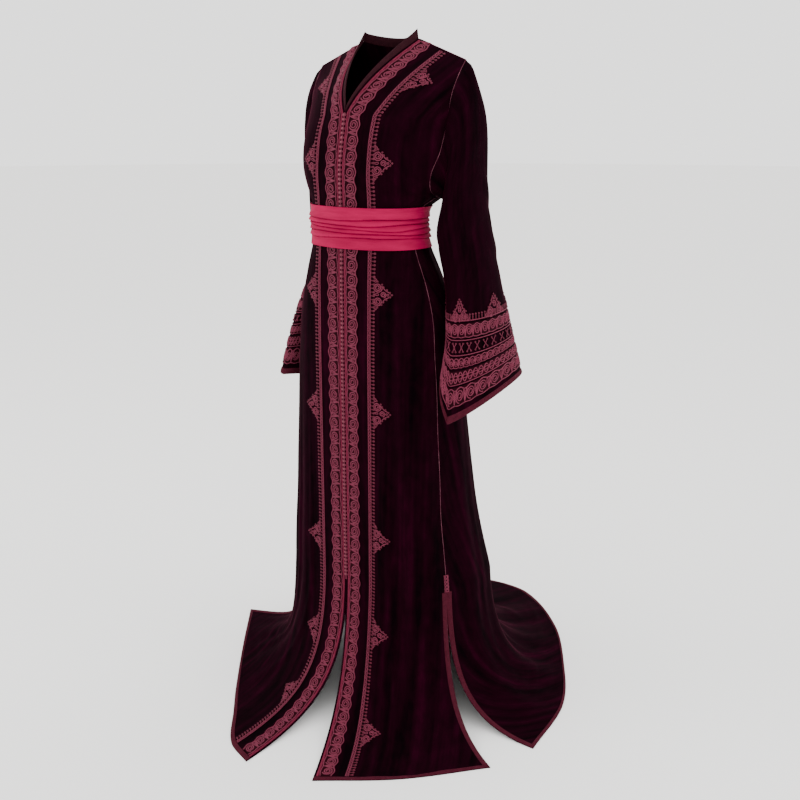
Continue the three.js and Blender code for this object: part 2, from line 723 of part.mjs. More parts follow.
function sleeveGrid(hand, sections) {
  const mirror = hand === 'left' ? 1 : -1;
  const loop = armhole(hand, 1);
  const points = SLEEVE_ROWS.map(() => []);
  for (let k = 0; k < SLEEVE_COLUMNS; k += 1) {
    const share = k / SLEEVE_COLUMNS;
    const turn = share * 2 * Math.PI;
    const cosine = Math.sign(Math.cos(turn)) * Math.abs(Math.cos(turn)) ** (2 / SLEEVE_ROUNDNESS);
    const sine = Math.sign(Math.sin(turn)) * Math.abs(Math.sin(turn)) ** (2 / SLEEVE_ROUNDNESS);
    const knots = [loop(share)];
    for (const s of sections) {
      const side = cosine > 0 ? vector(s.outX, s.outY, s.outZ) : vector(-s.inX, -s.inY, -s.inZ);
      const point = vector(s.x, s.y, s.height - NECK_HEIGHT)
        .addScaledVector(side, cosine)
        .addScaledVector(vector(s.backX, s.backY, s.backZ), -sine);
      knots.push(vector(point.x * mirror, point.y, point.z));
    }
    const curve = new THREE.CatmullRomCurve3(knots, false, 'centripetal');
    SLEEVE_ROWS.forEach((row, i) => points[i].push(curve.getPoint(row / sections.length)));
  }
  return makeGrid(points, -mirror, true);
}

const sleeves = {
  left: sleeveGrid('left', SLEEVE_LEFT),
  right: sleeveGrid('right', SLEEVE_RIGHT),
};

function sleeveRowIndex(step) {
  const i = clamp(SLEEVE_ROWS.findIndex((row) => row > step) - 1, 0, SLEEVE_ROWS.length - 2);
  const from = step >= SLEEVE_ROWS[SLEEVE_ROWS.length - 1] ? SLEEVE_ROWS.length - 2 : i;
  return from + (step - SLEEVE_ROWS[from]) / (SLEEVE_ROWS[from + 1] - SLEEVE_ROWS[from]);
}

function addSleeves() {
  const half = VELVET / 2;
  for (const [hand, grid] of Object.entries(sleeves)) {
    const top = armholeSetback(hand, grid);
    add(`sleeve_${hand}`, wall(grid, -half, half, { top, inset: 0 }), 'velvet');
  }
}

function addCuffs() {
  for (const [hand, grid] of Object.entries(sleeves)) {
    const places = CUFF_ROWS.map((step, i) => grid.points[0].map((_, j) => {
      const rise = i === 0 && j % CUFF_POINT_SPACING === 0 ? CUFF_POINT : 0;
      return gridAt(grid, sleeveRowIndex(step - rise), j);
    }));
    const cuff = {
      points: places.map((row) => row.map((place) => place.point)),
      normals: places.map((row) => row.map((place) => place.normal)),
      closed: true,
    };
    const low = VELVET / 2 + SEAM;
    const above = APPLIQUE_LOW + SEAM;
    add(`cuff_${hand}`, wall(cuff, above, above + CORDED), 'corded');
    const cell = (i) => i === SLEEVE_ROWS.length - 2;
    add(`cuff_binding_${hand}`, wall(grid, low, low + BRAID, { cell, inset: SEAM / 3 }), 'braid');
  }
}

// ---------------------------------------------------------------- neckband

// Stations from the bottom of the V up one side, round behind the neck and down the other side.
function addNeckband() {
  const stations = [];
  const frontStations = (grid, hand) => grid.points.slice(0, V_ROW + 1).map((row, i) => {
    const outward = grid.normals[i][0];
    const down = grid.points[i + 1][0].clone().sub(row[0]).normalize();
    const toOpening = down.cross(outward).multiplyScalar(hand).normalize();
    const share = i / V_ROW;
    const stand = mix(NECKBAND_STAND, NECKBAND_FOOT, Math.sqrt(share));
    const upright = i === V_ROW ? 1 : NECKBAND_UPRIGHT * (1 - share) ** 2;
    const rise = toOpening.lerp(vector(0, 0, 1), upright).normalize();
    return { base: row[0], rise, outward, stand, lift: NECKBAND_LIFT };
  });
  const left = frontStations(fronts.left, 1).reverse();
  const right = frontStations(fronts.right, -1);
  const last = BACK_COLUMNS - 1 - BACK_NECK_COLUMN;
  const behind = [];
  for (let j = BACK_NECK_COLUMN + 1; j < last; j += 1) {
    behind.push({
      base: back.points[0][j],
      rise: vector(0, -NECKBAND_LEAN, 1).normalize(),
      outward: vector(back.points[0][j].x, NECKBAND_DEPTH, 0).normalize(),
      stand: NECKBAND_STAND,
      lift: NECKBAND_LIFT - SHOULDER_SETBACK,
    });
  }
  stations.push(...left, ...behind, ...right);
  const loops = stations.map(({ base, rise, outward, stand, lift }) => {
    const half = NECKBAND_WALL / 2;
    const foot = base.clone().addScaledVector(rise, lift);
    const top = foot.clone().addScaledVector(rise, stand);
    const side = outward.clone().addScaledVector(rise, -outward.dot(rise)).setLength(half);
    return [foot.clone().add(side), top.clone().add(side), top.clone().sub(side), foot.clone().sub(side)];
  });
  add('neckband', sweep(loops, false), 'braid');
}

// ---------------------------------------------------------------- button row, slit knots, belt

function addButtonRow() {
  const loops = [];
  for (let i = V_ROW; i <= SLIT_ROW; i += 1) {
    const middle = fronts.left.points[i][0].clone().add(fronts.right.points[i][0]).multiplyScalar(0.5);
    const outward = fronts.left.normals[i][0].clone().add(fronts.right.normals[i][0]).setX(0).normalize();
    const corner = (x, up) => middle.clone().addScaledVector(outward, up).add(vector(x, 0, 0));
    loops.push([
      corner(-BUTTON_ROW_HALF, BUTTON_ROW_LOW),
      corner(-BUTTON_ROW_HALF * CREST, BUTTON_ROW_HIGH),
      corner(BUTTON_ROW_HALF * CREST, BUTTON_ROW_HIGH),
      corner(BUTTON_ROW_HALF, BUTTON_ROW_LOW),
    ]);
  }
  add('button_row', sweep(loops, false), 'corded');
}

function addSlitKnots() {
  for (const [hand, sign] of [['left', 1], ['right', -1]]) {
    const loops = SLIT_KNOT_STEPS.map((share) => {
      const height = SLIT_HEIGHT + SEAM + share * SLIT_KNOT_HEIGHT;
      const middle = bodyPoint(height, seamTurn(height), sign);
      const outward = outwardAt(height, seamTurn(height), sign);
      const across = vector(-outward.y, outward.x, 0);
      const swell = 1 - SLIT_KNOT_TAPER * Math.abs(2 * share - 1);
      const corner = (side, up) => middle.clone().addScaledVector(across, side).addScaledVector(outward, up);
      return [
        corner(-SLIT_KNOT_HALF * swell, APPLIQUE_LOW),
        corner(-SLIT_KNOT_HALF * swell * CREST, SLIT_KNOT_HIGH),
        corner(SLIT_KNOT_HALF * swell * CREST, SLIT_KNOT_HIGH),
        corner(SLIT_KNOT_HALF * swell, APPLIQUE_LOW),
      ];
    });
    add(`slit_knot_${hand}`, sweep(loops, false), 'corded');
  }
}

// The belt's cross section is carried round the waist at equal steps of the body's turn.
function addBelt() {
  const inner = [1, 0.5, 0].map((share) => ({ up: share * BELT_WIDTH, relief: -BELT_WALL }));
  const section = [...BELT_PLEATS, ...inner];
  const loops = [];
  for (let k = 0; k < BELT_COLUMNS; k += 1) {
    const share = k / BELT_COLUMNS;
    const around = share * 2;
    const hand = share < 0.5 ? 1 : -1;
    const turn = (hand > 0 ? around : 2 - around) * Math.PI;
    loops.push(section.map(({ up, relief }) => {
      const point = bodyPoint(BELT_LOW + up, turn, hand);
      const outward = outwardAt(BELT_LOW + up, turn, hand);
      const overButtons = turn < 1 ? Math.exp(-((point.x / BELT_BULGE_WIDTH) ** 2)) : 0;
      const clear = BELT_CLEARANCE + BELT_OVER_BUTTONS * overButtons;
      return point.addScaledVector(outward, clear + BELT_WALL + relief);
    }));
  }
  add('belt', sweep(loops, true), 'sash');
}

addPanels();
addFrontTrims();
addMotifs();
addHemBindings();
addSleeves();
addCuffs();
addNeckband();
addButtonRow();
addSlitKnots();
addBelt();

export default caftan;
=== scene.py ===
"""Dresses a velvet caftan: panels, sleeves, braids, corded ornament, knotted buttons and sash.

Lengths inside the classes are millimetres. Heights are measured up from the floor that the hem
trails on, and points are kept in the model's own frame, whose origin is at the neck.
"""

import logging
import math
from dataclasses import dataclass, field
from enum import Enum
from typing import Callable, Protocol, Sequence

import bpy
import numpy as np
from mathutils import Matrix, Vector


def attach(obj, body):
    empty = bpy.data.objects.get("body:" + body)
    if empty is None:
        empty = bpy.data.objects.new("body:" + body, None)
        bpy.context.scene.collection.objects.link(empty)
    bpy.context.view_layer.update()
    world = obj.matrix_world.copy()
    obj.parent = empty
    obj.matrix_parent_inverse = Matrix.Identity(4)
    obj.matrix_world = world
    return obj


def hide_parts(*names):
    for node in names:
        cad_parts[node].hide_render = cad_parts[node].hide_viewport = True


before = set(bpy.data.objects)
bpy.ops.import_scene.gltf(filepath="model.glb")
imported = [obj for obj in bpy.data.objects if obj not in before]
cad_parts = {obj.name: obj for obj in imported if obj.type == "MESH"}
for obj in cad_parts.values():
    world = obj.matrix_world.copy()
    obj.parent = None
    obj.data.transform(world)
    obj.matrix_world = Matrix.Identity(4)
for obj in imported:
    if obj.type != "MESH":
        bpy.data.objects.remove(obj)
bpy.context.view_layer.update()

LOG = logging.getLogger("caftan")
MM = 0.001
BODY_NAME = "root"
CORD_SIDES = 5
UV_STEP = 10  # millimetres of cloth to one unit of UV
UV_ROUND = 40  # units of UV round a closed piece
Array = np.ndarray
Surface = tuple[Array, Array]


class Hand(Enum):
    """The wearer's two sides, each with the sign of its X."""

    LEFT = 1
    RIGHT = -1

    @property
    def word(self) -> str:
        """The side's name in lower case."""
        return self.name.lower()


class Slot(Enum):
    """The record's material slots."""

    VELVET = "velvet"
    BRAID = "braid"
    CORDED = "corded"
    SASH = "sash"


# ---------------------------------------------------------------- small mathematics


def mix(start: Array | float, end: Array | float, share: Array | float) -> Array | float:
    """The value this share of the way from start to end."""
    return start + (end - start) * share


def ease(share: Array | float) -> Array | float:
    """A share from 0 to 1 that starts and ends slowly."""
    inside = np.clip(share, 0.0, 1.0)
    return inside * inside * (3 - 2 * inside)


def unit(vectors: Array) -> Array:
    """The vectors at length 1."""
    length = np.linalg.norm(vectors, axis=-1, keepdims=True)
    return vectors / np.maximum(length, 1e-9)


def run_of(points: Array, axis: int = 0) -> Array:
    """The length run from the first point to each point along an axis."""
    steps = np.linalg.norm(np.diff(points, axis=axis), axis=-1)
    return np.concatenate([np.zeros_like(np.take(steps, [0], axis)), np.cumsum(steps, axis)], axis)


def sample(line: Array, run: Array, wanted: Array) -> Array:
    """The points of a line at these places along its run."""
    return np.stack([np.interp(wanted, run, line[:, k]) for k in range(line.shape[1])], axis=1)


def resample(points: Array, count: int) -> Array:
    """The polyline with this many points at equal steps of its length."""
    run = run_of(points)
    return sample(points, run, np.linspace(0, run[-1], count))


@dataclass(frozen=True)
class Table:
    """Rows of numbers under named columns, whose first column rises, read as smooth curves."""

    columns: tuple[str, ...]
    rows: tuple[tuple[float, ...], ...]

    def read(self, value: Array | float, column: str) -> Array:
        """Reads one column at a value of the first.

        Args:
            value: place or places along the first column.
            column: name of the column that is read.

        Returns:
            The value or values there.
        """
        data = np.array(self.rows, dtype=float)
        keys, values = data[:, 0], data[:, self.columns.index(column)]
        last = len(keys) - 1
        order = np.arange(last + 1)
        before, after = np.maximum(order - 1, 0), np.minimum(order + 1, last)
        slope = (values[after] - values[before]) / (keys[after] - keys[before])
        place = np.asarray(value, dtype=float)
        k = np.clip(np.searchsorted(keys, place, side="right") - 1, 0, last - 1)
        width = keys[k + 1] - keys[k]
        t = np.clip((place - keys[k]) / width, 0, 1)
        bend = slope[k] * width * t * (1 - t) ** 2 - slope[k + 1] * width * t * t * (1 - t)
        return mix(values[k], values[k + 1], t * t * (3 - 2 * t)) + bend


# ---------------------------------------------------------------- meshes


class MeshWork:
    """Gathers the corners, faces and UV places of one piece and makes them one object."""

    def __init__(self) -> None:
        """Starts with nothing."""
        self.points: list[Array] = []
        self.faces: list[Array] = []
        self.uvs: list[Array] = []
        self.finishes: list[Array] = []
        self.count = 0

    def add(self, points: Array, groups: Sequence[Array], uv: Array, finish: int = 0) -> None:
        """Adds a closed body.

        Args:
            points: corners, in millimetres.
            groups: arrays of faces, each of one number of corners.
            uv: a UV place for each corner of every face, in the order of the groups.
            finish: index of the material.
        """
        self.points.append(points)
        for faces in groups:
            self.faces.append(faces + self.count)
            self.finishes.append(np.full(len(faces), finish))
        self.uvs.append(uv)
        self.count += len(points)

    def sweep(self, loops: Array, closed: bool, finish: int = 0) -> None:
        """Adds a body swept through loops of points.

        Args:
            loops: array of loops, of the points in each, of x, y and z.
            closed: whether the last loop joins the first.
            finish: index of the material.
        """
        count, size = loops.shape[:2]
        i = np.arange(count if closed else count - 1)[:, None]
        k = np.arange(size)[None, :]
        after, beside = (i + 1) % count, (k + 1) % size
        quads = np.stack([i * size + k, i * size + beside, after * size + beside, after * size + k], -1)
        quads = quads.reshape(-1, 4)
        centre = loops.reshape(-1, 3).mean(axis=0)
        flat = loops.reshape(-1, 3) - centre
        a, b, c, d = (flat[quads[:, n]] for n in range(4))
        volume = np.einsum("ij,ij->", a, np.cross(b, c)) + np.einsum("ij,ij->", a, np.cross(c, d))
        along = run_of(loops.mean(axis=1)) / UV_STEP
        round_it = np.linalg.norm(np.diff(loops[0], axis=0, append=loops[:1, 0]), axis=-1)
        around = np.concatenate([[0], np.cumsum(round_it)]) / UV_STEP
        step = along[-1] / max(count - 1, 1)
        u0, u1 = along[i], along[i] + step
        v0, v1 = around[k], around[k + 1]
        corners = [(u0, v0), (u0, v1), (u1, v1), (u1, v0)]
        uv = np.stack([np.stack(np.broadcast_arrays(u, v), -1) for u, v in corners], -2)
        uv = uv.reshape(-1, 4, 2)
        if volume < 0:
            quads, uv = quads[:, ::-1], uv[:, ::-1]
        groups, places = [quads], [uv.reshape(-1, 2)]
        if not closed:
            first, last = np.arange(size), (count - 1) * size + np.arange(size)
            ends = (first[::-1], last) if volume >= 0 else (first, last[::-1])
            groups.append(np.stack(ends))
            places.append(np.zeros((2 * size, 2)))
        self.add(loops.reshape(-1, 3), groups, np.concatenate(places), finish)

    def tube(self, track: Array, normals: Array, radius: float, closed: bool = False) -> None:
        """Adds a cord along a track.

        Args:
            track: the cord's middle line.
            normals: the direction out of the cloth at each of its points.
            radius: radius of the cord.
            closed: whether the track is a ring.
        """
        if closed:
            ahead, behind = np.roll(track, -1, axis=0), np.roll(track, 1, axis=0)
        else:
            ahead = np.concatenate([track[1:], track[-1:]])
            behind = np.concatenate([track[:1], track[:-1]])
        side = unit(np.cross(unit(ahead - behind), normals))
        turns = np.arange(CORD_SIDES) * 2 * math.pi / CORD_SIDES
        loops = track[:, None] + radius * (
            side[:, None] * np.cos(turns)[None, :, None]
            + normals[:, None] * np.sin(turns)[None, :, None]
        )
        self.sweep(loops, closed)

    def place(self, shape: "Shape", origin: Array, axes: Array, size: Array, finish: int = 0) -> None:
        """Adds copies of a shape.

        Args:
            shape: the shape, about its own origin.
            origin: places of the copies.
            axes: for each copy three unit vectors, for the shape's x, y and z.
            size: the copies' size along each of these.
            finish: index of the material.
        """
        local = shape.points[None, :, :] * np.asarray(size)[None, None, :]
        moved = np.einsum("cpk,ckx->cpx", local, axes) + origin[:, None, :]
        for copy in moved:
            corners = sum(faces.size for faces in shape.groups)
            self.add(copy, shape.groups, np.zeros((corners, 2)), finish)

    def piece(self, name: str, materials: Sequence[bpy.types.Material],
              sharp: float = 45) -> bpy.types.Object:
        """Makes the object.

        Args:
            name: the piece's name.
            materials: its materials, in the order of the finishes.
            sharp: angle in degrees above which an edge stays sharp.

        Returns:
            The object, at the origin.
        """
        mesh = bpy.data.meshes.new(name)
        points = np.concatenate(self.points) * MM
        corners = np.concatenate([faces.ravel() for faces in self.faces])
        sizes = np.concatenate([np.full(len(faces), faces.shape[1]) for faces in self.faces])
        mesh.vertices.add(len(points))
        mesh.vertices.foreach_set("co", points.ravel())
        mesh.loops.add(len(corners))
        mesh.loops.foreach_set("vertex_index", corners.astype(np.int32))
        mesh.polygons.add(len(sizes))
        mesh.polygons.foreach_set("loop_start", (np.cumsum(sizes) - sizes).astype(np.int32))
        mesh.polygons.foreach_set("material_index", np.concatenate(self.finishes).astype(np.int32))
        layer = mesh.uv_layers.new(name="Cloth")
        layer.data.foreach_set("uv", np.concatenate(self.uvs).astype(np.float32).ravel())
        mesh.update(calc_edges=True)
        mesh.validate()
        mesh.shade_smooth()
        mesh.set_sharp_from_angle(angle=math.radians(sharp))
        for material in materials:
            mesh.materials.append(material)
        result = bpy.data.objects.new(name, mesh)
        bpy.context.scene.collection.objects.link(result)
        return result


@dataclass
class Shape:
    """A small shape that is modelled once and copied."""

    points: Array
    groups: list[Array]

    @classmethod
    def from_active(cls) -> "Shape":
        """Takes the active object's mesh and removes the object."""
        made = bpy.context.view_layer.objects.active
        points = np.array([v.co[:] for v in made.data.vertices])
        by_size: dict[int, list[list[int]]] = {}
        for face in made.data.polygons:
            by_size.setdefault(len(face.vertices), []).append(list(face.vertices))
        bpy.data.objects.remove(made, do_unlink=True)
        return cls(points, [np.array(faces) for faces in by_size.values()])


class Modeller:
    """Models the small repeated shapes with the mesh tools."""

    @staticmethod
    def _select_faces(test: Callable[[Vector], bool]) -> None:
        """Selects, in edit mode, the faces whose middle passes the test, and nothing else."""
        bpy.ops.mesh.select_mode(type="FACE")
        bpy.ops.mesh.select_all(action="DESELECT")
        bpy.ops.object.mode_set(mode="OBJECT")
        for face in bpy.context.object.data.polygons:
            face.select = test(face.center)
        bpy.ops.object.mode_set(mode="EDIT")

    def knot(self) -> Shape:
        """A round knotted button: a ball whose bands are drawn in where its cord passes over."""
        bpy.ops.object.select_all(action="DESELECT")
        bpy.ops.mesh.primitive_uv_sphere_add(segments=8, ring_count=5, radius=1)
        bpy.ops.object.mode_set(mode="EDIT")
        self._select_faces(lambda middle: abs(middle.z) < 0.2)
        bpy.ops.mesh.inset(thickness=0.12, depth=0.1, use_individual=True)
        bpy.ops.mesh.select_all(action="SELECT")
        bpy.ops.transform.resize(value=(1, 1, 0.86))
        bpy.ops.object.mode_set(mode="OBJECT")
        return Shape.from_active()

    def picot(self) -> Shape:
        """A short tooth of twisted cord: a tapered bar with a rounded, swollen end at +X."""
        bpy.ops.object.select_all(action="DESELECT")
        bpy.ops.mesh.primitive_cylinder_add(
            vertices=6, radius=0.5, depth=1, location=(0.5, 0, 0), rotation=(0, math.pi / 2, 0))
        bpy.ops.object.transform_apply(location=True, rotation=True, scale=True)
        bpy.ops.object.mode_set(mode="EDIT")
        self._select_faces(lambda middle: middle.x > 0.99)
        bpy.ops.mesh.inset(thickness=0.16, depth=0.12)
        self._select_faces(lambda middle: middle.x < 0.01)
        bpy.ops.transform.resize(value=(1, 0.7, 0.7))
        bpy.ops.object.mode_set(mode="OBJECT")
        return Shape.from_active()


# ---------------------------------------------------------------- finishes


class NodeBoard:
    """Lays out the nodes of one material."""

    def __init__(self, name: str) -> None:
        """Starts a material with its own shader."""
        self.material = bpy.data.materials.new(name)
        self.material.use_nodes = True
        self.tree = self.material.node_tree
        self.shader = self.tree.nodes["Principled BSDF"]

    def add(self, kind: str, settings: dict[str, object] | None = None,
            **inputs: object) -> bpy.types.Node:
        """Adds a node.

        Args:
            kind: the node's type.
            settings: its own properties.
            inputs: values or sockets for its inputs, with _ for a space in a name.

        Returns:
            The node.
        """
        node = self.tree.nodes.new(kind)
        for key, value in (settings or {}).items():
            setattr(node, key, value)
        for key, value in inputs.items():
            self.feed(node, key.replace("_", " "), value)
        return node

    def feed(self, node: bpy.types.Node, name: str, value: object) -> None:
        """Gives a node's input a value or links a socket to it."""
        if isinstance(value, bpy.types.NodeSocket):
            self.tree.links.new(value, node.inputs[name])
        else:
            node.inputs[name].default_value = value

    def ramp(self, source: bpy.types.NodeSocket,
             stops: Sequence[tuple[float, tuple]]) -> bpy.types.NodeSocket:
        """A colour ramp with these stops, and its colour."""
        node = self.add("ShaderNodeValToRGB", Fac=source)
        points = node.color_ramp.elements
        while len(points) < len(stops):
            points.new(0.5)
        for point, (place, colour) in zip(points, stops):
            point.position = place
            point.color = (*colour, 1)
        return node.outputs["Color"]

    def mapped(self, output: str, scale: tuple[float, float, float],
               turn: float = 0) -> bpy.types.NodeSocket:
        """A place, from the object or the piece's own UV map, scaled and turned."""
        where = self.add("ShaderNodeTexCoord").outputs[output]
        return self.add("ShaderNodeMapping", Vector=where, Scale=scale,
                        Rotation=(0, 0, turn)).outputs["Vector"]

    def bumped(self, heights: Sequence[tuple[bpy.types.NodeSocket, float, float]]) -> None:
        """Raises the surface by each height in turn.

        Args:
            heights: a height, its strength and its distance in metres, one for each layer.
        """
        normal = None
        for height, strength, distance in heights:
            node = self.add("ShaderNodeBump", Height=height, Strength=strength, Distance=distance)
            if normal is not None:
                self.feed(node, "Normal", normal)
            normal = node.outputs["Normal"]
        self.feed(self.shader, "Normal", normal)

    def surface(self, **values: object) -> None:
        """Sets the shader's own sockets, with _ for a space in a name."""
        for key, value in values.items():
            self.feed(self.shader, key.replace("_", " "), value)


@dataclass(frozen=True)
class VelvetFinish:
    """Cotton velvet: a dark pile that lights up where it is seen along its hairs."""

    name: str = "burgundy_velvet"
    deep: tuple[float, float, float] = (0.0016, 0.0, 0.0007)
    # Lighter end of the colour ramp: painted sheen, pile coloured as if lit.
    painted_sheen: tuple[float, float, float] = (0.019, 0.0, 0.006)
    sheen: tuple[float, float, float] = (0.66, 0.0, 0.15)
    sheen_weight: float = 0.13
    sheen_roughness: float = 0.2

    def material(self) -> bpy.types.Material:
        """Makes the material."""
        board = NodeBoard(self.name)
        # The base colour holds painted light: random streaks and patches run up to the painted sheen colour,
        # and the colour darkens in the hollows of the crushed relief as painted shade.
        streaks = board.add("ShaderNodeTexNoise", Vector=board.mapped("UV", (0.42, 0.022, 1)),
                            Scale=1.0, Detail=3.0, Roughness=0.5, Distortion=0.3)
        crush = board.add("ShaderNodeTexNoise", Vector=board.mapped("UV", (0.5, 0.28, 1)),
                          Scale=1.0, Detail=3.0, Roughness=0.55)
        both = board.add("ShaderNodeMix", {"data_type": "FLOAT"}, Factor=0.3,
                         A=streaks.outputs["Fac"], B=crush.outputs["Fac"])
        colour = board.ramp(both.outputs["Result"], [
            (0.36, self.deep), (0.56, mix_colour(self.deep, self.painted_sheen, 0.35)), (0.76, self.painted_sheen)])
        pile = board.add("ShaderNodeTexNoise", Vector=board.mapped("Object", (1, 1, 0.7)),
                         Scale=900.0, Detail=1.0)
        board.bumped([(crush.outputs["Fac"], 0.35, 0.0016), (pile.outputs["Fac"], 0.3, 0.0004)])
        board.surface(Base_Color=colour, Roughness=0.95, Specular_IOR_Level=0.02,
                      Sheen_Weight=self.sheen_weight, Sheen_Roughness=self.sheen_roughness,
                      Sheen_Tint=(*self.sheen, 1))
        return board.material


def mix_colour(start: Sequence[float], end: Sequence[float], share: float) -> tuple[float, float, float]:
    """The colour this share of the way from start to end."""
    return tuple(a + (b - a) * share for a, b in zip(start, end))


@dataclass(frozen=True)
class BraidFinish:
    """Flat woven braid of matt silk, with fine ribs across its run."""

    name: str
    light: tuple[float, float, float]
    dark: tuple[float, float, float]
    ribs: float = 5.0
    rise: float = 0.0006

    def material(self) -> bpy.types.Material:
        """Makes the material."""
        board = NodeBoard(self.name)
        place = board.mapped("UV", (self.ribs, self.ribs * 0.8, 1))
        rib = board.add("ShaderNodeTexWave", {"bands_direction": "X"}, Vector=place, Scale=1.0,
                        Distortion=0.9, Detail=1.0, Detail_Scale=2.0)
        worn = board.add("ShaderNodeTexNoise", Vector=board.mapped("Object", (1, 1, 1)),
                         Scale=130.0, Detail=3.0)
        tone = board.add("ShaderNodeMix", {"data_type": "FLOAT"}, Factor=0.5,
                         A=rib.outputs["Fac"], B=worn.outputs["Fac"])
        # Darker where the ribs sink: painted shade in the grooves between ribs, mixed with random tone.
        colour = board.ramp(tone.outputs["Result"], [(0.2, self.dark), (0.75, self.light)])
        board.bumped([(rib.outputs["Fac"], 0.55, self.rise), (worn.outputs["Fac"], 0.2, 0.0005)])
        board.surface(Base_Color=colour, Roughness=0.8, Specular_IOR_Level=0.06,
                      Sheen_Weight=0.02, Sheen_Roughness=0.4, Sheen_Tint=(0.8, 0.08, 0.2, 1))
        return board.material


@dataclass(frozen=True)
class CordFinish:
    """Twisted silk cord: its plies run slantwise round it."""

    name: str
    light: tuple[float, float, float]
    dark: tuple[float, float, float]
    plies: float = 7.0

    def material(self) -> bpy.types.Material:
        """Makes the material."""
        board = NodeBoard(self.name)
        place = board.mapped("UV", (self.plies, self.plies * 1.6, 1), math.radians(38))
        twist = board.add("ShaderNodeTexWave", {"bands_direction": "X"}, Vector=place, Scale=1.0,
                          Distortion=0.3)
        worn = board.add("ShaderNodeTexNoise", Vector=board.mapped("Object", (1, 1, 1)),
                         Scale=190.0, Detail=2.0)
        tone = board.add("ShaderNodeMix", {"data_type": "FLOAT"}, Factor=0.45,
                         A=twist.outputs["Fac"], B=worn.outputs["Fac"])
        # Darker where the twist sinks: painted shade between the plies, mixed with random tone.
        colour = board.ramp(tone.outputs["Result"], [(0.2, self.dark), (0.7, self.light)])
        board.bumped([(twist.outputs["Fac"], 0.5, 0.0004), (worn.outputs["Fac"], 0.15, 0.0004)])
        board.surface(Base_Color=colour, Roughness=0.65, Specular_IOR_Level=0.14,
                      Sheen_Weight=0.04, Sheen_Roughness=0.35, Sheen_Tint=(0.9, 0.2, 0.36, 1))
        return board.material


@dataclass(frozen=True)
class CrepeFinish:
    """Silk crepe: a bright dyed cloth with a fine pebbled face and a soft gloss."""

    name: str = "raspberry_crepe"
    light: tuple[float, float, float] = (0.33, 0.001, 0.05)
    dark: tuple[float, float, float] = (0.23, 0.0, 0.032)

    def material(self) -> bpy.types.Material:
        """Makes the material."""
        board = NodeBoard(self.name)
        pebble = board.add("ShaderNodeTexNoise", Vector=board.mapped("Object", (1, 1, 1.7)),
                           Scale=520.0, Detail=2.0)
        slub = board.add("ShaderNodeTexNoise", Vector=board.mapped("Object", (1, 1, 7)),
                         Scale=16.0, Detail=3.0)
        # The slub's random tone also follows its relief, darker in its hollows: painted shade.
        colour = board.ramp(slub.outputs["Fac"], [(0.3, self.dark), (0.7, self.light)])
        board.bumped([(slub.outputs["Fac"], 0.25, 0.002), (pebble.outputs["Fac"], 0.3, 0.0005)])
        board.surface(Base_Color=colour, Roughness=0.7, Specular_IOR_Level=0.07,
                      Sheen_Weight=0.03, Sheen_Roughness=0.4, Sheen_Tint=(1.0, 0.1, 0.3, 1))
        return board.material


@dataclass(frozen=True)
class Wardrobe:
    """Every finish of the caftan, made once."""

    velvet: bpy.types.Material = field(default_factory=lambda: VelvetFinish().material())
    # The seam velvet is painted highlight: light pile colours that stand for the light caught along each
    # seam.
    seam: bpy.types.Material = field(default_factory=lambda: VelvetFinish(
        name="seam_painted_highlight", deep=(0.06, 0.012, 0.022), painted_sheen=(0.3, 0.11, 0.15)).material())
    ribbed: bpy.types.Material = field(default_factory=lambda: BraidFinish(
        name="ribbed_braid", light=(0.075, 0.008, 0.019), dark=(0.022, 0.001, 0.005)).material())
    chevron: bpy.types.Material = field(default_factory=lambda: BraidFinish(
        name="chevron_braid", light=(0.2, 0.02, 0.05), dark=(0.05, 0.003, 0.011)).material())
    collar: bpy.types.Material = field(default_factory=lambda: BraidFinish(
        name="collar_braid", light=(0.03, 0.005, 0.009), dark=(0.01, 0.001, 0.003),
        ribs=7.0).material())
    net: bpy.types.Material = field(default_factory=lambda: BraidFinish(
        name="woven_ground", light=(0.02, 0.0, 0.004), dark=(0.008, 0.0, 0.0015),
        ribs=6.0).material())
    cord: bpy.types.Material = field(default_factory=lambda: CordFinish(
        name="rose_cord", light=(0.2, 0.03, 0.062), dark=(0.07, 0.006, 0.017)).material())
    knot: bpy.types.Material = field(default_factory=lambda: CordFinish(
        name="knot_cord", light=(0.33, 0.1, 0.14), dark=(0.14, 0.03, 0.045)).material())
    crepe: bpy.types.Material = field(default_factory=lambda: CrepeFinish().material())


# ---------------------------------------------------------------- the garment's surface

FOLD_FIELDS = ("top", "hem", "start", "reach", "width")
HEM_FIELDS = ("share", "x", "y", "landX", "landY")
CREASE_FIELDS = ("share", "row", "length", "width", "lean", "depth")


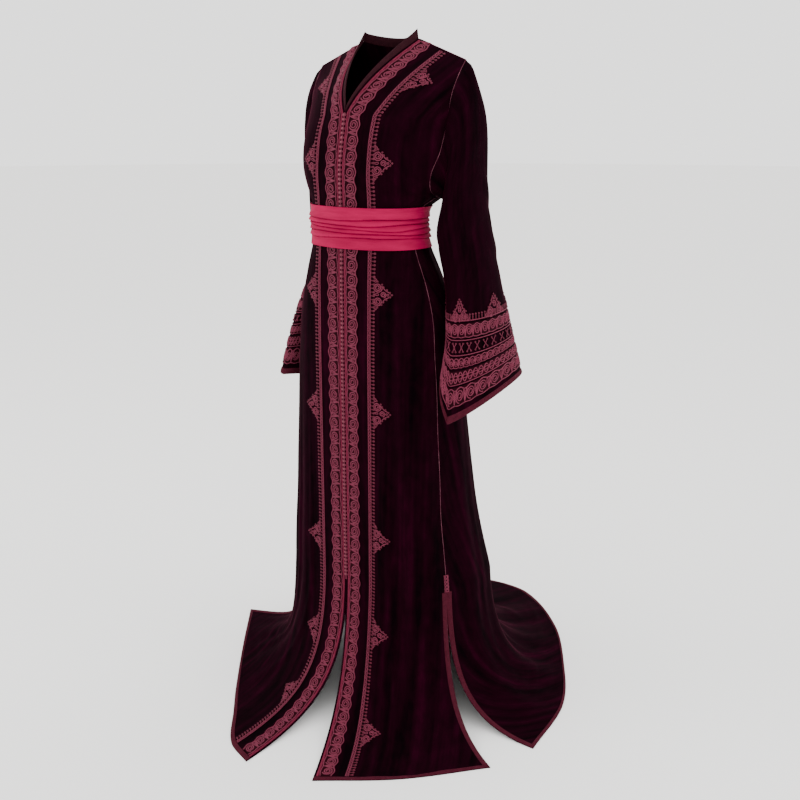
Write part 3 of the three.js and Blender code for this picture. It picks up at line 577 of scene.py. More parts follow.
@dataclass(frozen=True)
class Figure:
    """The worn form of the body: level sections, shoulders, armholes and the fall to the hem."""

    neck_height: float = 1460
    shoulder_height: float = 1415
    neck_half: float = 72
    shoulder_half: float = 190
    back_neck_drop: float = 12
    v_height: float = 1314
    bust_height: float = 1240
    underarm_height: float = 1150
    slit_height: float = 300
    seam: float = 0.3
    velvet: float = 2
    binding_width: float = 12
    roundness: float = 2.4
    shoulder_fall: float = 220
    shoulder_power: float = 2.2
    back_neck_rise: float = 0.8
    train_fall: float = 105
    train_flare: float = 1.04
    chest_rows: tuple[float, ...] = (0, 0.16, 0.33, 0.5, 0.6636, 0.84, 1)
    level_rows: tuple[float, ...] = (
        1240, 1195, 1150, 1125, 1087, 1045, 970, 890, 780, 660, 540, 420, 300)
    train_rows: tuple[float, ...] = (0, 0.2, 0.4, 0.56, 0.72, 0.87, 0.984, 1)
    v_row: float = 4
    underarm_row: float = 8
    slit_row: float = 18
    hem_row: float = 25

    sections: Table = Table(("height", "half", "front", "back", "side", "seam"), (
        (220, 240, -157, 186, 10, 64),
        (300, 236, -157, 156, 4, 65),
        (380, 228, -157, 126, -4, 66),
        (470, 217, -157, 108, -12, 67),
        (560, 210, -157, 100, -20, 69),
        (660, 203, -157, 92, -26, 70),
        (750, 197, -157, 88, -33, 72),
        (830, 190, -157, 82, -37, 73),
        (900, 182, -156, 70, -41, 75),
        (970, 162, -156, 50, -46, 77),
        (1045, 132, -155, 26, -55, 80),
        (1087, 126, -155, 14, -60, 83),
        (1125, 131, -156, 20, -54, 87),
        (1150, 150, -156, 52, -30, 90),
        (1195, 175, -157, 76, -11, 90),
        (1240, 184, -152, 88, -1, 90),
        (1310, 190, -140, 95, 7, 90),
        (1365, 204, -132, 97, 9, 90),
        (1420, 216, -124, 96, 10, 90),
        (1460, 220, -118, 92, 10, 90),
    ))
    armholes: Table = Table(("height", "half"), (
        (1150, 151), (1195, 165), (1240, 176), (1310, 181), (1365, 185), (1415, 189)))

    def shoulder_line(self, x: Array) -> Array:
        """Height of the shoulder seam's line over a point this far from the middle."""
        fall = (self.neck_height - self.shoulder_height) / (self.shoulder_half - self.neck_half)
        past = x - self.neck_half
        return self.neck_height - np.where(past < 0, self.back_neck_rise, fall) * past

    def point(self, height: Array | float, turn: Array | float, hand: Array | int) -> Array:
        """A point of the body.

        Args:
            height: height above the floor.
            turn: angle from the centre front, past a side at a right angle.
            hand: sign of the side.

        Returns:
            The point or points in the model's frame.
        """
        turn = np.asarray(turn, dtype=float)
        power = 2 / self.roundness
        x = self.sections.read(height, "half") * np.abs(np.sin(turn)) ** power
        reach = np.abs(np.cos(turn)) ** power
        drop = np.clip((self.shoulder_line(x) - height) / self.shoulder_fall, 0, 1)
        fill = 1 - (1 - drop) ** self.shoulder_power
        front, back = self.sections.read(height, "front"), self.sections.read(height, "back")
        middle = np.where(np.cos(turn) > 0, front, back)
        y = mix(self.sections.read(height, "side"), middle, reach * fill)
        z = np.broadcast_to(np.asarray(height, dtype=float) - self.neck_height, y.shape)
        return np.stack(np.broadcast_arrays(hand * x, y, z), axis=-1)

    def turn_at(self, height: Array | float, x: Array | float) -> Array:
        """The turn at which the body is this far from the middle."""
        share = np.clip(x / self.sections.read(height, "half"), 0, 1)
        return np.arcsin(share ** (self.roundness / 2))

    def front_edge(self, height: Array | float) -> Array:
        """How far the front edge lies from the middle: the V opens up to the neck."""
        share = np.clip((height - self.v_height) / (self.neck_height - self.v_height), 0, 1)
        return mix(self.seam * 0.7, self.neck_half, share)

    def side_turn(self, height: float, behind: bool) -> float:
        """The turn of a panel's side edge, from the centre front or, behind, the centre back."""
        if height > self.underarm_height:
            return float(self.turn_at(height, self.armholes.read(height, "half")))
        seam = math.radians(float(self.sections.read(height, "seam")))
        return math.pi - seam if behind else seam

    def outward(self, height: float, turn: Array, hand: Array) -> Array:
        """The level direction straight out of the body."""
        step = 0.02
        ahead = self.point(height, np.minimum(turn + step, math.pi), hand)
        behind = self.point(height, np.maximum(turn - step, 0), hand)
        along = unit(ahead - behind)
        return unit(np.stack([along[..., 1] * hand, -along[..., 0] * hand, along[..., 0] * 0], -1))

    def front_row(self, row: float, hand: int, hem: Table, share: Array) -> Array:
        """Points of one row of a front, from its front edge to its side."""
        if row <= len(self.chest_rows) - 1:
            chest = float(np.interp(row, np.arange(len(self.chest_rows)), self.chest_rows))
            high = mix(self.neck_height, self.shoulder_height, share)
            inner = self.front_edge(mix(self.neck_height, self.bust_height, chest))
            outer = self.armholes.read(mix(self.shoulder_height, self.bust_height, chest), "half")
            height = mix(high, self.bust_height, chest)
            return self.point(height, self.turn_at(height, mix(inner, outer, share)), hand)
        height = self._height(row)
        edge = float(self.turn_at(height, self.front_edge(height)))
        points = self.point(height, mix(edge, self.side_turn(height, False), share), hand)
        return self._train(points, row, hem, share)

    def back_row(self, row: float, hem: Table, share: Array) -> Array:
        """Points of one row of the back, from the wearer's left side round to the right."""
        across = 1 - 2 * share
        hand = np.where(across < 0, -1, 1)
        if row <= len(self.chest_rows) - 1:
            chest = float(np.interp(row, np.arange(len(self.chest_rows)), self.chest_rows))
            half = self.armholes.read(mix(self.shoulder_height, self.bust_height, chest), "half")
            top_x = np.abs(across) * self.shoulder_half
            neck = self.neck_height - self.back_neck_drop * (1 - (top_x / self.neck_half) ** 2)
            top = np.where(top_x < self.neck_half, neck, self.shoulder_line(top_x))
            height = mix(top, self.bust_height, chest)
            turn = math.pi - self.turn_at(height, np.abs(across) * half)
            return self.point(height, turn, hand)
        height = self._height(row)
        turn = math.pi - self.side_turn(height, True) * np.abs(across)
        return self._train(self.point(height, turn, hand), row, hem, share)

    def _height(self, row: float) -> float:
        """The height of a level row."""
        first = len(self.chest_rows) - 1
        rows = np.arange(first, first + len(self.level_rows))
        return float(np.interp(row, rows, self.level_rows))

    def _train(self, start: Array, row: float, hem: Table, share: Array) -> Array:
        """Below the slits each column falls, lands on the floor and runs out to the hem."""
        if row <= self.slit_row:
            return start
        rows = self.slit_row + np.arange(len(self.train_rows))
        t = float(np.interp(row, rows, self.train_rows))
        floor = np.full_like(share, self.velvet / 2 - self.neck_height)
        fall = start * [self.train_flare, self.train_flare, 0]
        fall = fall + [0, 0, self.train_fall - self.neck_height]
        landing = np.stack([hem.read(share, "landX"), hem.read(share, "landY"), floor], -1)
        end = np.stack([hem.read(share, "x"), hem.read(share, "y"), floor], -1)
        return (start * (1 - t) ** 3 + fall * 3 * t * (1 - t) ** 2
                + landing * 3 * t * t * (1 - t) + end * t ** 3)


def grid_normals(points: Array, side: int, closed: bool = False) -> Array:
    """The outward normal at each point of a grid.

    Args:
        points: rows and columns of points.
        side: 1 or -1, which turns the normals over.
        closed: whether the last column meets the first.

    Returns:
        The unit normals.
    """
    up = np.concatenate([points[:1], points[:-1]])
    down = np.concatenate([points[1:], points[-1:]])
    if closed:
        before, after = np.roll(points, 1, axis=1), np.roll(points, -1, axis=1)
    else:
        before = np.concatenate([points[:, :1], points[:, :-1]], axis=1)
        after = np.concatenate([points[:, 1:], points[:, -1:]], axis=1)
    return unit(np.cross(down - up, after - before)) * side


@dataclass
class Cloth:
    """A dense grid of a worn piece of cloth, with its normals and its lengths both ways."""

    points: Array
    rows: Array
    side: int
    closed: bool = False
    # Share of the width at which the grain runs straight down.
    grain: float = 0.0

    def __post_init__(self) -> None:
        """Works out the normals and lengths."""
        self.measure()

    def measure(self) -> None:
        """Works out the normals and lengths of the present shape."""
        self.normals = grid_normals(self.points, self.side, self.closed)
        self.across = run_of(self.points, axis=1)
        self.along = run_of(self.points, axis=0)

    def push(self, amount: Array) -> None:
        """Moves each point out along its normal by its amount."""
        self.points = self.points + self.normals * amount[..., None]
        self.measure()

    def fold(self, folds: Table, figure: Figure) -> None:
        """Raises soft standing folds on the lower part of a panel."""
        share = self.across / self.across[:, -1:]
        height = self.points[..., 2] + figure.neck_height
        fade_rows, edge_share = 3, 0.06
        fade = ease((figure.hem_row - self.rows) / fade_rows)[:, None]
        total = np.zeros(share.shape)
        for top, hem, start, reach, width in folds.rows:
            down = ease((start - height) / (start - figure.slit_height))
            middle = mix(top, hem, np.clip((start - height) / start, 0, 1))
            total += reach * down * np.exp(-((share - middle) / width) ** 2)
        total *= ease(np.minimum(share, 1 - share) / edge_share)
        self.push(total * fade)

    def crease(self, creases: Table) -> None:
        """Raises short creases, each a ridge with a trough beside it."""
        if self.closed:
            share = np.broadcast_to(np.arange(self.points.shape[1]) / self.points.shape[1],
                                    self.points.shape[:2])
        else:
            share = self.across / self.across[:, -1:]
        rows = np.broadcast_to(self.rows[:, None], share.shape)
        trough, trough_place = 0.6, 1.5
        total = np.zeros(share.shape)
        for middle, row, length, width, lean, depth in creases.rows:
            away = share - middle
            if self.closed:
                away = (away + 0.5) % 1 - 0.5
            off = (rows - row - lean * away / length) / width
            ridge = np.exp(-off * off) - trough * np.exp(-((off - trough_place) ** 2))
            total += depth * ridge * np.exp(-((away / length) ** 4))
        self.push(total)

    def area(self) -> float:
        """The cloth's area in square metres."""
        points = self.points
        if self.closed:
            points = np.concatenate([points, points[:, :1]], axis=1)
        a, b, c, d = points[:-1, :-1], points[1:, :-1], points[1:, 1:], points[:-1, 1:]
        one = np.linalg.norm(np.cross(b - a, c - a), axis=-1)
        two = np.linalg.norm(np.cross(c - a, d - a), axis=-1)
        return float((one + two).sum() / 2 * MM ** 2)

    def shell(self, thickness: float) -> MeshWork:
        """The cloth as a closed thin wall, half its thickness to each side of the grid."""
        count, width = self.points.shape[:2]
        outer = (self.points + self.normals * thickness / 2).reshape(-1, 3)
        inner = (self.points - self.normals * thickness / 2).reshape(-1, 3)
        below = len(outer)
        columns = width if self.closed else width - 1
        i, j = np.meshgrid(np.arange(count - 1), np.arange(columns), indexing="ij")
        beside = (j + 1) % width
        a, b, c, d = i * width + j, (i + 1) * width + j, (i + 1) * width + beside, i * width + beside
        quads = [np.stack([a, b, c, d], -1).reshape(-1, 4)]
        quads.append(np.stack([a, d, c, b], -1).reshape(-1, 4) + below)

        def rim(first: Array, second: Array) -> Array:
            """Faces from an edge of the outer wall to the inner wall."""
            return np.stack([second, first, first + below, second + below], -1).reshape(-1, 4)

        quads += [rim(d[0], a[0]), rim(b[-1], c[-1])]
        if not self.closed:
            quads += [rim(a[:, 0], b[:, 0]), rim(c[:, -1], d[:, -1])]
        faces = np.concatenate(quads)
        if self.side < 0:
            faces = faces[:, ::-1]
        straight = (self.across - self.grain * self.across[:, -1:]) / UV_STEP
        u = np.arange(width) / width * UV_ROUND if self.closed else straight
        flat = np.stack([np.broadcast_to(u, (count, width)), self.along / UV_STEP], -1).reshape(-1, 2)
        work = MeshWork()
        places = np.concatenate([flat, flat])[faces.ravel()]
        work.add(np.concatenate([outer, inner]), [faces], places)
        return work

    def index_of(self, row: float) -> int:
        """The sampled row nearest to a row of the figure or sleeve."""
        return int(np.argmin(np.abs(self.rows - row)))

    def at_row(self, row: float) -> Surface:
        """The points and normals of the grid at a row of the figure or sleeve."""
        place = float(np.interp(row, self.rows, np.arange(len(self.rows))))
        i = min(int(place), len(self.rows) - 2)
        points = mix(self.points[i], self.points[i + 1], place - i)
        return points, unit(mix(self.normals[i], self.normals[i + 1], place - i))


class Lay(Protocol):
    """A cloth surface that ornament is laid on, measured across and along its run."""

    def place(self, across: Array, along: Array, lift: Array | float) -> Surface:
        """Points lifted off the cloth, and the normals there."""


def grid_at(cloth: Cloth, row: Array, column: Array, lift: Array | float) -> Surface:
    """Points and normals between the rows and columns of a cloth's grid."""
    points, normals = cloth.points, cloth.normals
    width = points.shape[1]
    i = np.clip(np.floor(row).astype(int), 0, points.shape[0] - 2)
    if cloth.closed:
        j = np.floor(column).astype(int)
        u, v = row - i, column - j
        left, right = j % width, (j + 1) % width
    else:
        j = np.clip(np.floor(column).astype(int), 0, width - 2)
        u, v = row - i, column - j
        left, right = j, j + 1
    u, v = u[..., None], v[..., None]

    def blend(field_: Array) -> Array:
        """Mixes the four corners of each cell."""
        top = mix(field_[i, left], field_[i, right], v)
        return mix(top, mix(field_[i + 1, left], field_[i + 1, right], v), u)

    normal = unit(blend(normals))
    return blend(points) + normal * np.asarray(lift)[..., None], normal


@dataclass
class FrontLay:
    """The strip of a front beside its edge: across from the edge, along from the shoulder."""

    cloth: Cloth
    reference: float

    def __post_init__(self) -> None:
        """Takes the lengths down the column that the run is measured on."""
        column = int(np.argmin(np.abs(self.cloth.across[0] - self.reference)))
        self.column = column
        self.run = self.cloth.along[:, column]

    def length_to(self, row: float) -> float:
        """The run from the shoulder to a row of the figure."""
        return float(np.interp(row, self.cloth.rows, self.run))

    def place(self, across: Array, along: Array, lift: Array | float) -> Surface:
        """Points lifted off the cloth, and the normals there."""
        across, along = np.broadcast_arrays(np.asarray(across, float), np.asarray(along, float))
        row = np.interp(along, self.run, np.arange(len(self.run)))
        near = self.cloth.across[np.clip(np.round(row).astype(int), 0, len(self.run) - 1)]
        j = np.clip((near <= across[..., None]).sum(axis=-1) - 1, 0, near.shape[-1] - 2)
        low = np.take_along_axis(near, j[..., None], -1)[..., 0]
        high = np.take_along_axis(near, j[..., None] + 1, -1)[..., 0]
        return grid_at(self.cloth, row, j + (across - low) / (high - low), lift)


@dataclass
class CuffLay:
    """The lower part of a sleeve: across from the mouth upwards, along round the sleeve."""

    cloth: Cloth
    low_step: float = 4.86
    high_step: float = 3.6

    def __post_init__(self) -> None:
        """Takes the girth and the depth of the cuff."""
        points, _ = self.cloth.at_row((self.low_step + self.high_step) / 2)
        self.girth = float(run_of(np.concatenate([points, points[:1]]))[-1])
        low, high = (np.interp(s, self.cloth.rows, np.arange(len(self.cloth.rows)))
                     for s in (self.low_step, self.high_step))
        span = self.cloth.along[int(low)] - self.cloth.along[int(high)]
        self.depth = float(span.mean())

    def place(self, across: Array, along: Array, lift: Array | float) -> Surface:
        """Points lifted off the cloth, and the normals there."""
        across, along = np.broadcast_arrays(np.asarray(across, float), np.asarray(along, float))
        step = mix(self.low_step, self.high_step, across / self.depth)
        row = np.interp(step, self.cloth.rows, np.arange(len(self.cloth.rows)))
        return grid_at(self.cloth, row, along / self.girth * self.cloth.points.shape[1], lift)


# ---------------------------------------------------------------- ornament


@dataclass
class Ornament:
    """Cords, knots and picots sewn on a surface, in the traditional manner."""

    lay: Lay
    base: float = 1.0
    step: float = 2.4
    work: MeshWork = field(default_factory=MeshWork)

    def cord(self, across: Array, along: Array, radius: float, closed: bool = False,
             raised: Array | float = 0.0) -> None:
        """Lays one cord.

        Args:
            across: its places across the run.
            along: its places along the run.
            radius: its radius.
            closed: whether it is a ring.
            raised: extra height, as where it passes over another.
        """
        track, normals = self.lay.place(across, along, self.base + radius * 0.75 + raised)
        self.work.tube(track, normals, radius, closed)

    def line(self, across: float, start: float, end: float, radius: float, ring: bool = False) -> None:
        """Lays a straight cord along the run, or right round it."""
        count = max(3, int((end - start) / (self.step * 2)))
        along = np.linspace(start, end, count, endpoint=not ring)
        self.cord(np.full(count, across), along, radius, ring)

    def spiral(self, across: float, along: float, size: float, turns: float, radius: float,
               start: float = 0.0, way: int = 1) -> None:
        """Lays a spiral that opens from near its middle."""
        reach = np.linspace(size * 0.2, size, max(10, int(turns * math.pi * size * 1.2 / self.step)))
        turn = start + way * np.linspace(0, turns * 2 * math.pi, len(reach))
        self.cord(across + reach * np.cos(turn), along + reach * np.sin(turn), radius)

    def leaf(self, across: float, along: float, reach: float, width: float, radius: float,
             lean: float = 0.0) -> None:
        """Lays a pointed loop that grows from a place across the run."""
        count = max(9, int(abs(reach) * 2.4 / self.step))
        turn = np.arange(count) * 2 * math.pi / count
        out = (1 - np.cos(turn)) / 2
        self.cord(across + reach * out, along + width * np.sin(turn) * out + lean * out, radius, True)

    def knots(self, shape: Shape, across: Array, along: Array, size: Sequence[float],
              lift: float = 0.0) -> None:
        """Sews on knots or teeth, whose own x points across the run."""
        spots, normals = self.lay.place(across, along, self.base + lift)
        ahead = self.lay.place(np.asarray(across) + 1.0, along, self.base + lift)[0]
        outward = unit(ahead - spots)
        beside = unit(np.cross(normals, outward))
        axes = np.stack([unit(np.cross(beside, normals)), beside, normals], axis=1)
        self.work.place(shape, spots, axes, size)

    def ground(self, low: float, high: float, along: Array, top: float, across: int,
               ring: bool = False) -> None:
        """Lays a thin woven ground between two lines of the run.

        Args:
            low: its one side across the run.
            high: its other side.
            along: its stations along the run.
            top: height of its face above the cloth.
            across: points across its face.
            ring: whether it closes on itself.
        """
        edge, inner = (self.lay.place(np.full(len(along), a), along, 0) for a in (low, high))
        Trim(high=top, ribs=0).strip(self.work, edge, inner, ring, across, finish=1)

    def repeats(self, start: float, end: float, period: float, even: bool = False) -> tuple[int, float]:
        """How often a repeat fits a run, and its fitted length."""
        count = max(1, round((end - start) / period))
        if even and count % 2:
            count += 1
        return count, (end - start) / count

    def scroll(self, middle: float, half: float, start: float, end: float, period: float,
               radius: float, ring: bool = False) -> None:
        """Lays a band of large spirals with leaves between them and a scalloped outer edge.

        Args:
            middle: middle of the band across the run.
            half: half its width.
            start: where it starts along the run.
            end: where it ends.
            period: length of one spiral and the leaf beside it.
            radius: radius of the cords.
            ring: whether the band closes on itself.
        """
        count, length = self.repeats(start, end, period)
        inner, thin = half - radius, radius * 0.8
        size = min(inner * 0.78, length * 0.4)
        samples = max(10 * count, int((end - start) / self.step))
        along = np.linspace(start, end, samples, endpoint=not ring)
        wave = (along - start) / length * 2 * math.pi
        self.cord(middle + inner * (0.84 - 0.16 * np.cos(wave)), along, radius, ring)
        self.cord(middle - inner * (0.97 - 0.06 * np.cos(wave)), along, thin, ring)
        fewest_turns, pitch, first_turn = 1.1, 3.2 * radius, 2.4
        turns = max(fewest_turns, 0.8 * size / pitch)
        foot, reach, width, lean = middle - inner * 0.8, inner * 1.5, length * 0.07, length * 0.14
        for k in range(count):
            self.spiral(middle, start + (k + 0.5) * length, size, turns, radius, start=first_turn)
            for way in (-1, 1):
                self.leaf(foot, start + k * length, reach, width, thin, lean=way * lean)

    def medallion(self, shapes: dict[str, Shape], foot: float, middle: float, scale: float) -> None:
        """Lays a lobed triangle: a pair of spirals, two smaller ones, and knots up to its tip.

        Args:
            shapes: the small shapes, of which it takes the knot.
            foot: where its base lies across the run.
            middle: its middle along the run.
            scale: its size, where 1 is 40 mm from base to tip.
        """
        for sign in (-1, 1):
            self.spiral(foot + 10.5 * scale, middle + sign * 14.5 * scale, 10.2 * scale, 2.3,
                        1.25 * scale, start=math.pi / 2, way=sign)
            self.spiral(foot + 5 * scale, middle + sign * 28.5 * scale, 4.4 * scale, 1.3,
                        0.95 * scale, way=sign)
            share = np.linspace(0, 1, 9)
            self.cord(foot + mix(17, 38, share) * scale,
                      middle + sign * (mix(17.5, 1.8, share) + 0.9 * np.sin(share * 3 * math.pi)) * scale,
                      1.1 * scale)
        self.spiral(foot + 22.5 * scale, middle, 6.8 * scale, 1.8, 1.15 * scale, start=2.5)
        self.spiral(foot + 32 * scale, middle, 3.0 * scale, 1.1, 0.95 * scale, start=1.0)
        self.leaf(foot, middle, 13 * scale, 3 * scale, 0.9 * scale)
        across = foot + np.array([41, 37, 37, 30, 30, 23, 23, 19.5, 19.5, 10, 10, 3, 3]) * scale
        along = middle + np.array([0, -4.4, 4.4, -10, 10, -15.5, 15.5, -21, 21, -27, 27, -34.5, 34.5]) * scale
        self.knots(shapes["knot"], across, along, [2.3 * scale, 2.3 * scale, 1.8 * scale], lift=1.2)

    def chain(self, middle: float, half: float, start: float, end: float, period: float,
              radius: float, ring: bool = False) -> None:
        """Lays a narrow chain braid: two cords that cross at every link."""
        count, length = self.repeats(start, end, period, even=ring)
        along = np.linspace(start, end, count * 5, endpoint=not ring)
        wave = (along - start) / length * math.pi
        for sign in (-1, 1):
            across = middle + sign * half * np.sin(wave)
            self.cord(across, along, radius, ring, sign * radius * 0.4 * np.cos(wave))

    def floret(self, shapes: dict[str, Shape], across: float, along: float, size: float) -> None:
        """Lays a small star on the bare velvet: two crossed cords with knots on their ends."""
        reach = np.linspace(-1, 1, 7) * size
        for lean in (-1, 1):
            self.cord(across + reach, along + lean * reach * 0.8, 0.75)
        ends = np.array([-1, -1, 1, 1, 0]) * size, np.array([-0.8, 0.8, -0.8, 0.8, 0]) * size
        self.knots(shapes["knot"], across + ends[0], along + ends[1], (2.0, 2.0, 1.6), lift=0.8)


@dataclass
class Trim:
    """Flat woven strips with ribs, ruled between two lines of the cloth."""

    spacing: float = 2.4
    ribs: float = 0.28
    low: float = 0.9
    high: float = 2.3

    def strip(self, work: MeshWork, edge: Surface, inner: Surface, closed: bool = False,
              across: int = 5, slant: float = 0.0, finish: int = 0) -> None:
        """Adds a ribbed strip.

        Args:
            work: mesh that it is added to.
            edge: points and normals of its outer line.
            inner: the same of its inner line, point for point.
            closed: whether it is a ring.
            across: points across its face.
            slant: how far the ribs lean from its edges to its middle, in ribs.
            finish: index of the material.
        """
        run = run_of(edge[0])
        if closed:
            run = run_of(np.concatenate([edge[0], edge[0][:1]]))[:-1]
        share = np.linspace(0, 1, across)
        parity = np.where(np.arange(len(run)) % 2, 1.0, -1.0)[:, None]
        if slant:
            parity = np.sin((run[:, None] / self.spacing + slant * np.abs(share - 0.5) * 2) * math.pi)
        crown = 1 - (2 * share - 1) ** 6
        lift = mix(self.low + 0.5, self.high, crown)[None, :] + self.ribs * parity * crown[None, :]
        base = mix(edge[0][:, None], inner[0][:, None], share[None, :, None])
        normal = unit(mix(edge[1][:, None], inner[1][:, None], share[None, :, None]))
        top = base + normal * lift[..., None]
        foot = [line[0] + line[1] * self.low for line in (edge, inner)]
        loops = np.concatenate([foot[0][:, None], top, foot[1][:, None]], axis=1)
        work.sweep(loops, closed, finish)


def dress(piece: bpy.types.Object, slot: Slot, *nodes: str) -> bpy.types.Object:
    """Fastens a piece to the body and hides what it stands for."""
    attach(piece, BODY_NAME)
    if nodes:
        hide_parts(*nodes)
    faces = sum(len(face.vertices) - 2 for face in piece.data.polygons)
    LOG.info("%s: %d triangles", piece.name, faces)
    return piece


# ---------------------------------------------------------------- panels


@dataclass
class Panel:
    """What the three body panels share: how their grids are sampled and finished."""

    figure: Figure
    wardrobe: Wardrobe
    thickness: float = 1.7
    steps: tuple[int, int, int] = (5, 6, 9)
    samples: int = 360
    gather_rise: float = 1.5
    # Height of each zone of gathers, how far it reaches and its share of the rise.
    gather_zones: tuple[tuple[float, float, float], ...] = ((1030, 60, 1.0), (1140, 26, 0.6))
    hem: Table = Table(HEM_FIELDS, ())
    folds: Table = Table(FOLD_FIELDS, ())
    small_folds: Table = Table(FOLD_FIELDS, ())
    creases: Table = Table(CREASE_FIELDS, ())

    def row_places(self) -> Array:
        """The rows that are sampled, closer together on the train."""
        figure = self.figure
        turns = [0, len(figure.chest_rows) - 1, int(figure.slit_row), int(figure.hem_row)]
        parts = [np.linspace(low, high, (high - low) * step + 1)
                 for low, high, step in zip(turns, turns[1:], self.steps)]
        return np.concatenate([parts[0]] + [part[1:] for part in parts[1:]])

    def grid(self, row_of: Callable[[float, Array], Array],
             lengths_of: Callable[[float], Array], side: int) -> Cloth:
        """Samples a panel.

        Args:
            row_of: gives the points of a row for shares of its width.
            lengths_of: gives the lengths at which columns stand, from the row's whole length.
            side: side of the normals.

        Returns:
            The panel's cloth.
        """
        share = np.linspace(0, 1, self.samples)
        rows = self.row_places()
        result = []
        for row in rows:
            points = row_of(float(row), share)
            run = run_of(points)
            result.append(sample(points, run, lengths_of(float(run[-1]))))
        return Cloth(np.array(result), rows, side)

    def gather(self, count: float, clear: float) -> None:
        """Draws the cloth into small upright gathers above and below the sash.

        Args:
            count: number of gathers across the panel.
            clear: width beside the first edge that stays flat.
        """
        cloth, fade, edge_share = self.cloth, 40, 0.05
        height = cloth.points[..., 2] + self.figure.neck_height
        share = cloth.across / cloth.across[:, -1:]
        wave = np.sin(share * count * 2 * math.pi) + 0.6 * np.sin(share * count * 3.7 * math.pi + 1)
        near = sum(part * np.exp(-(((height - middle) / reach) ** 2))
                   for middle, reach, part in self.gather_zones)
        edge = ease((cloth.across - clear) / fade) * ease((1 - share) / edge_share)
        cloth.push(self.gather_rise * wave * near * edge)

    def drape(self, gathers: float, clear: float) -> None:
        """Folds, gathers and creases the panel's cloth."""
        self.cloth.fold(self.folds, self.figure)
        self.cloth.fold(self.small_folds, self.figure)
        self.gather(gathers, clear)
        self.cloth.crease(self.creases)


def hang(velvet: bpy.types.Object, cloth: Cloth,
         trims: Sequence[bpy.types.Object]) -> None:
    """Args:
        velvet: the piece.
        cloth: the grid that it was made from.
        trims: the pieces that are sewn to it; not used.
    """
    LOG.info("%s: %.3f m2, %.2f x %.2f m", velvet.name, cloth.area(),
             cloth.across[:, -1].max() * MM, cloth.along[-1].max() * MM)


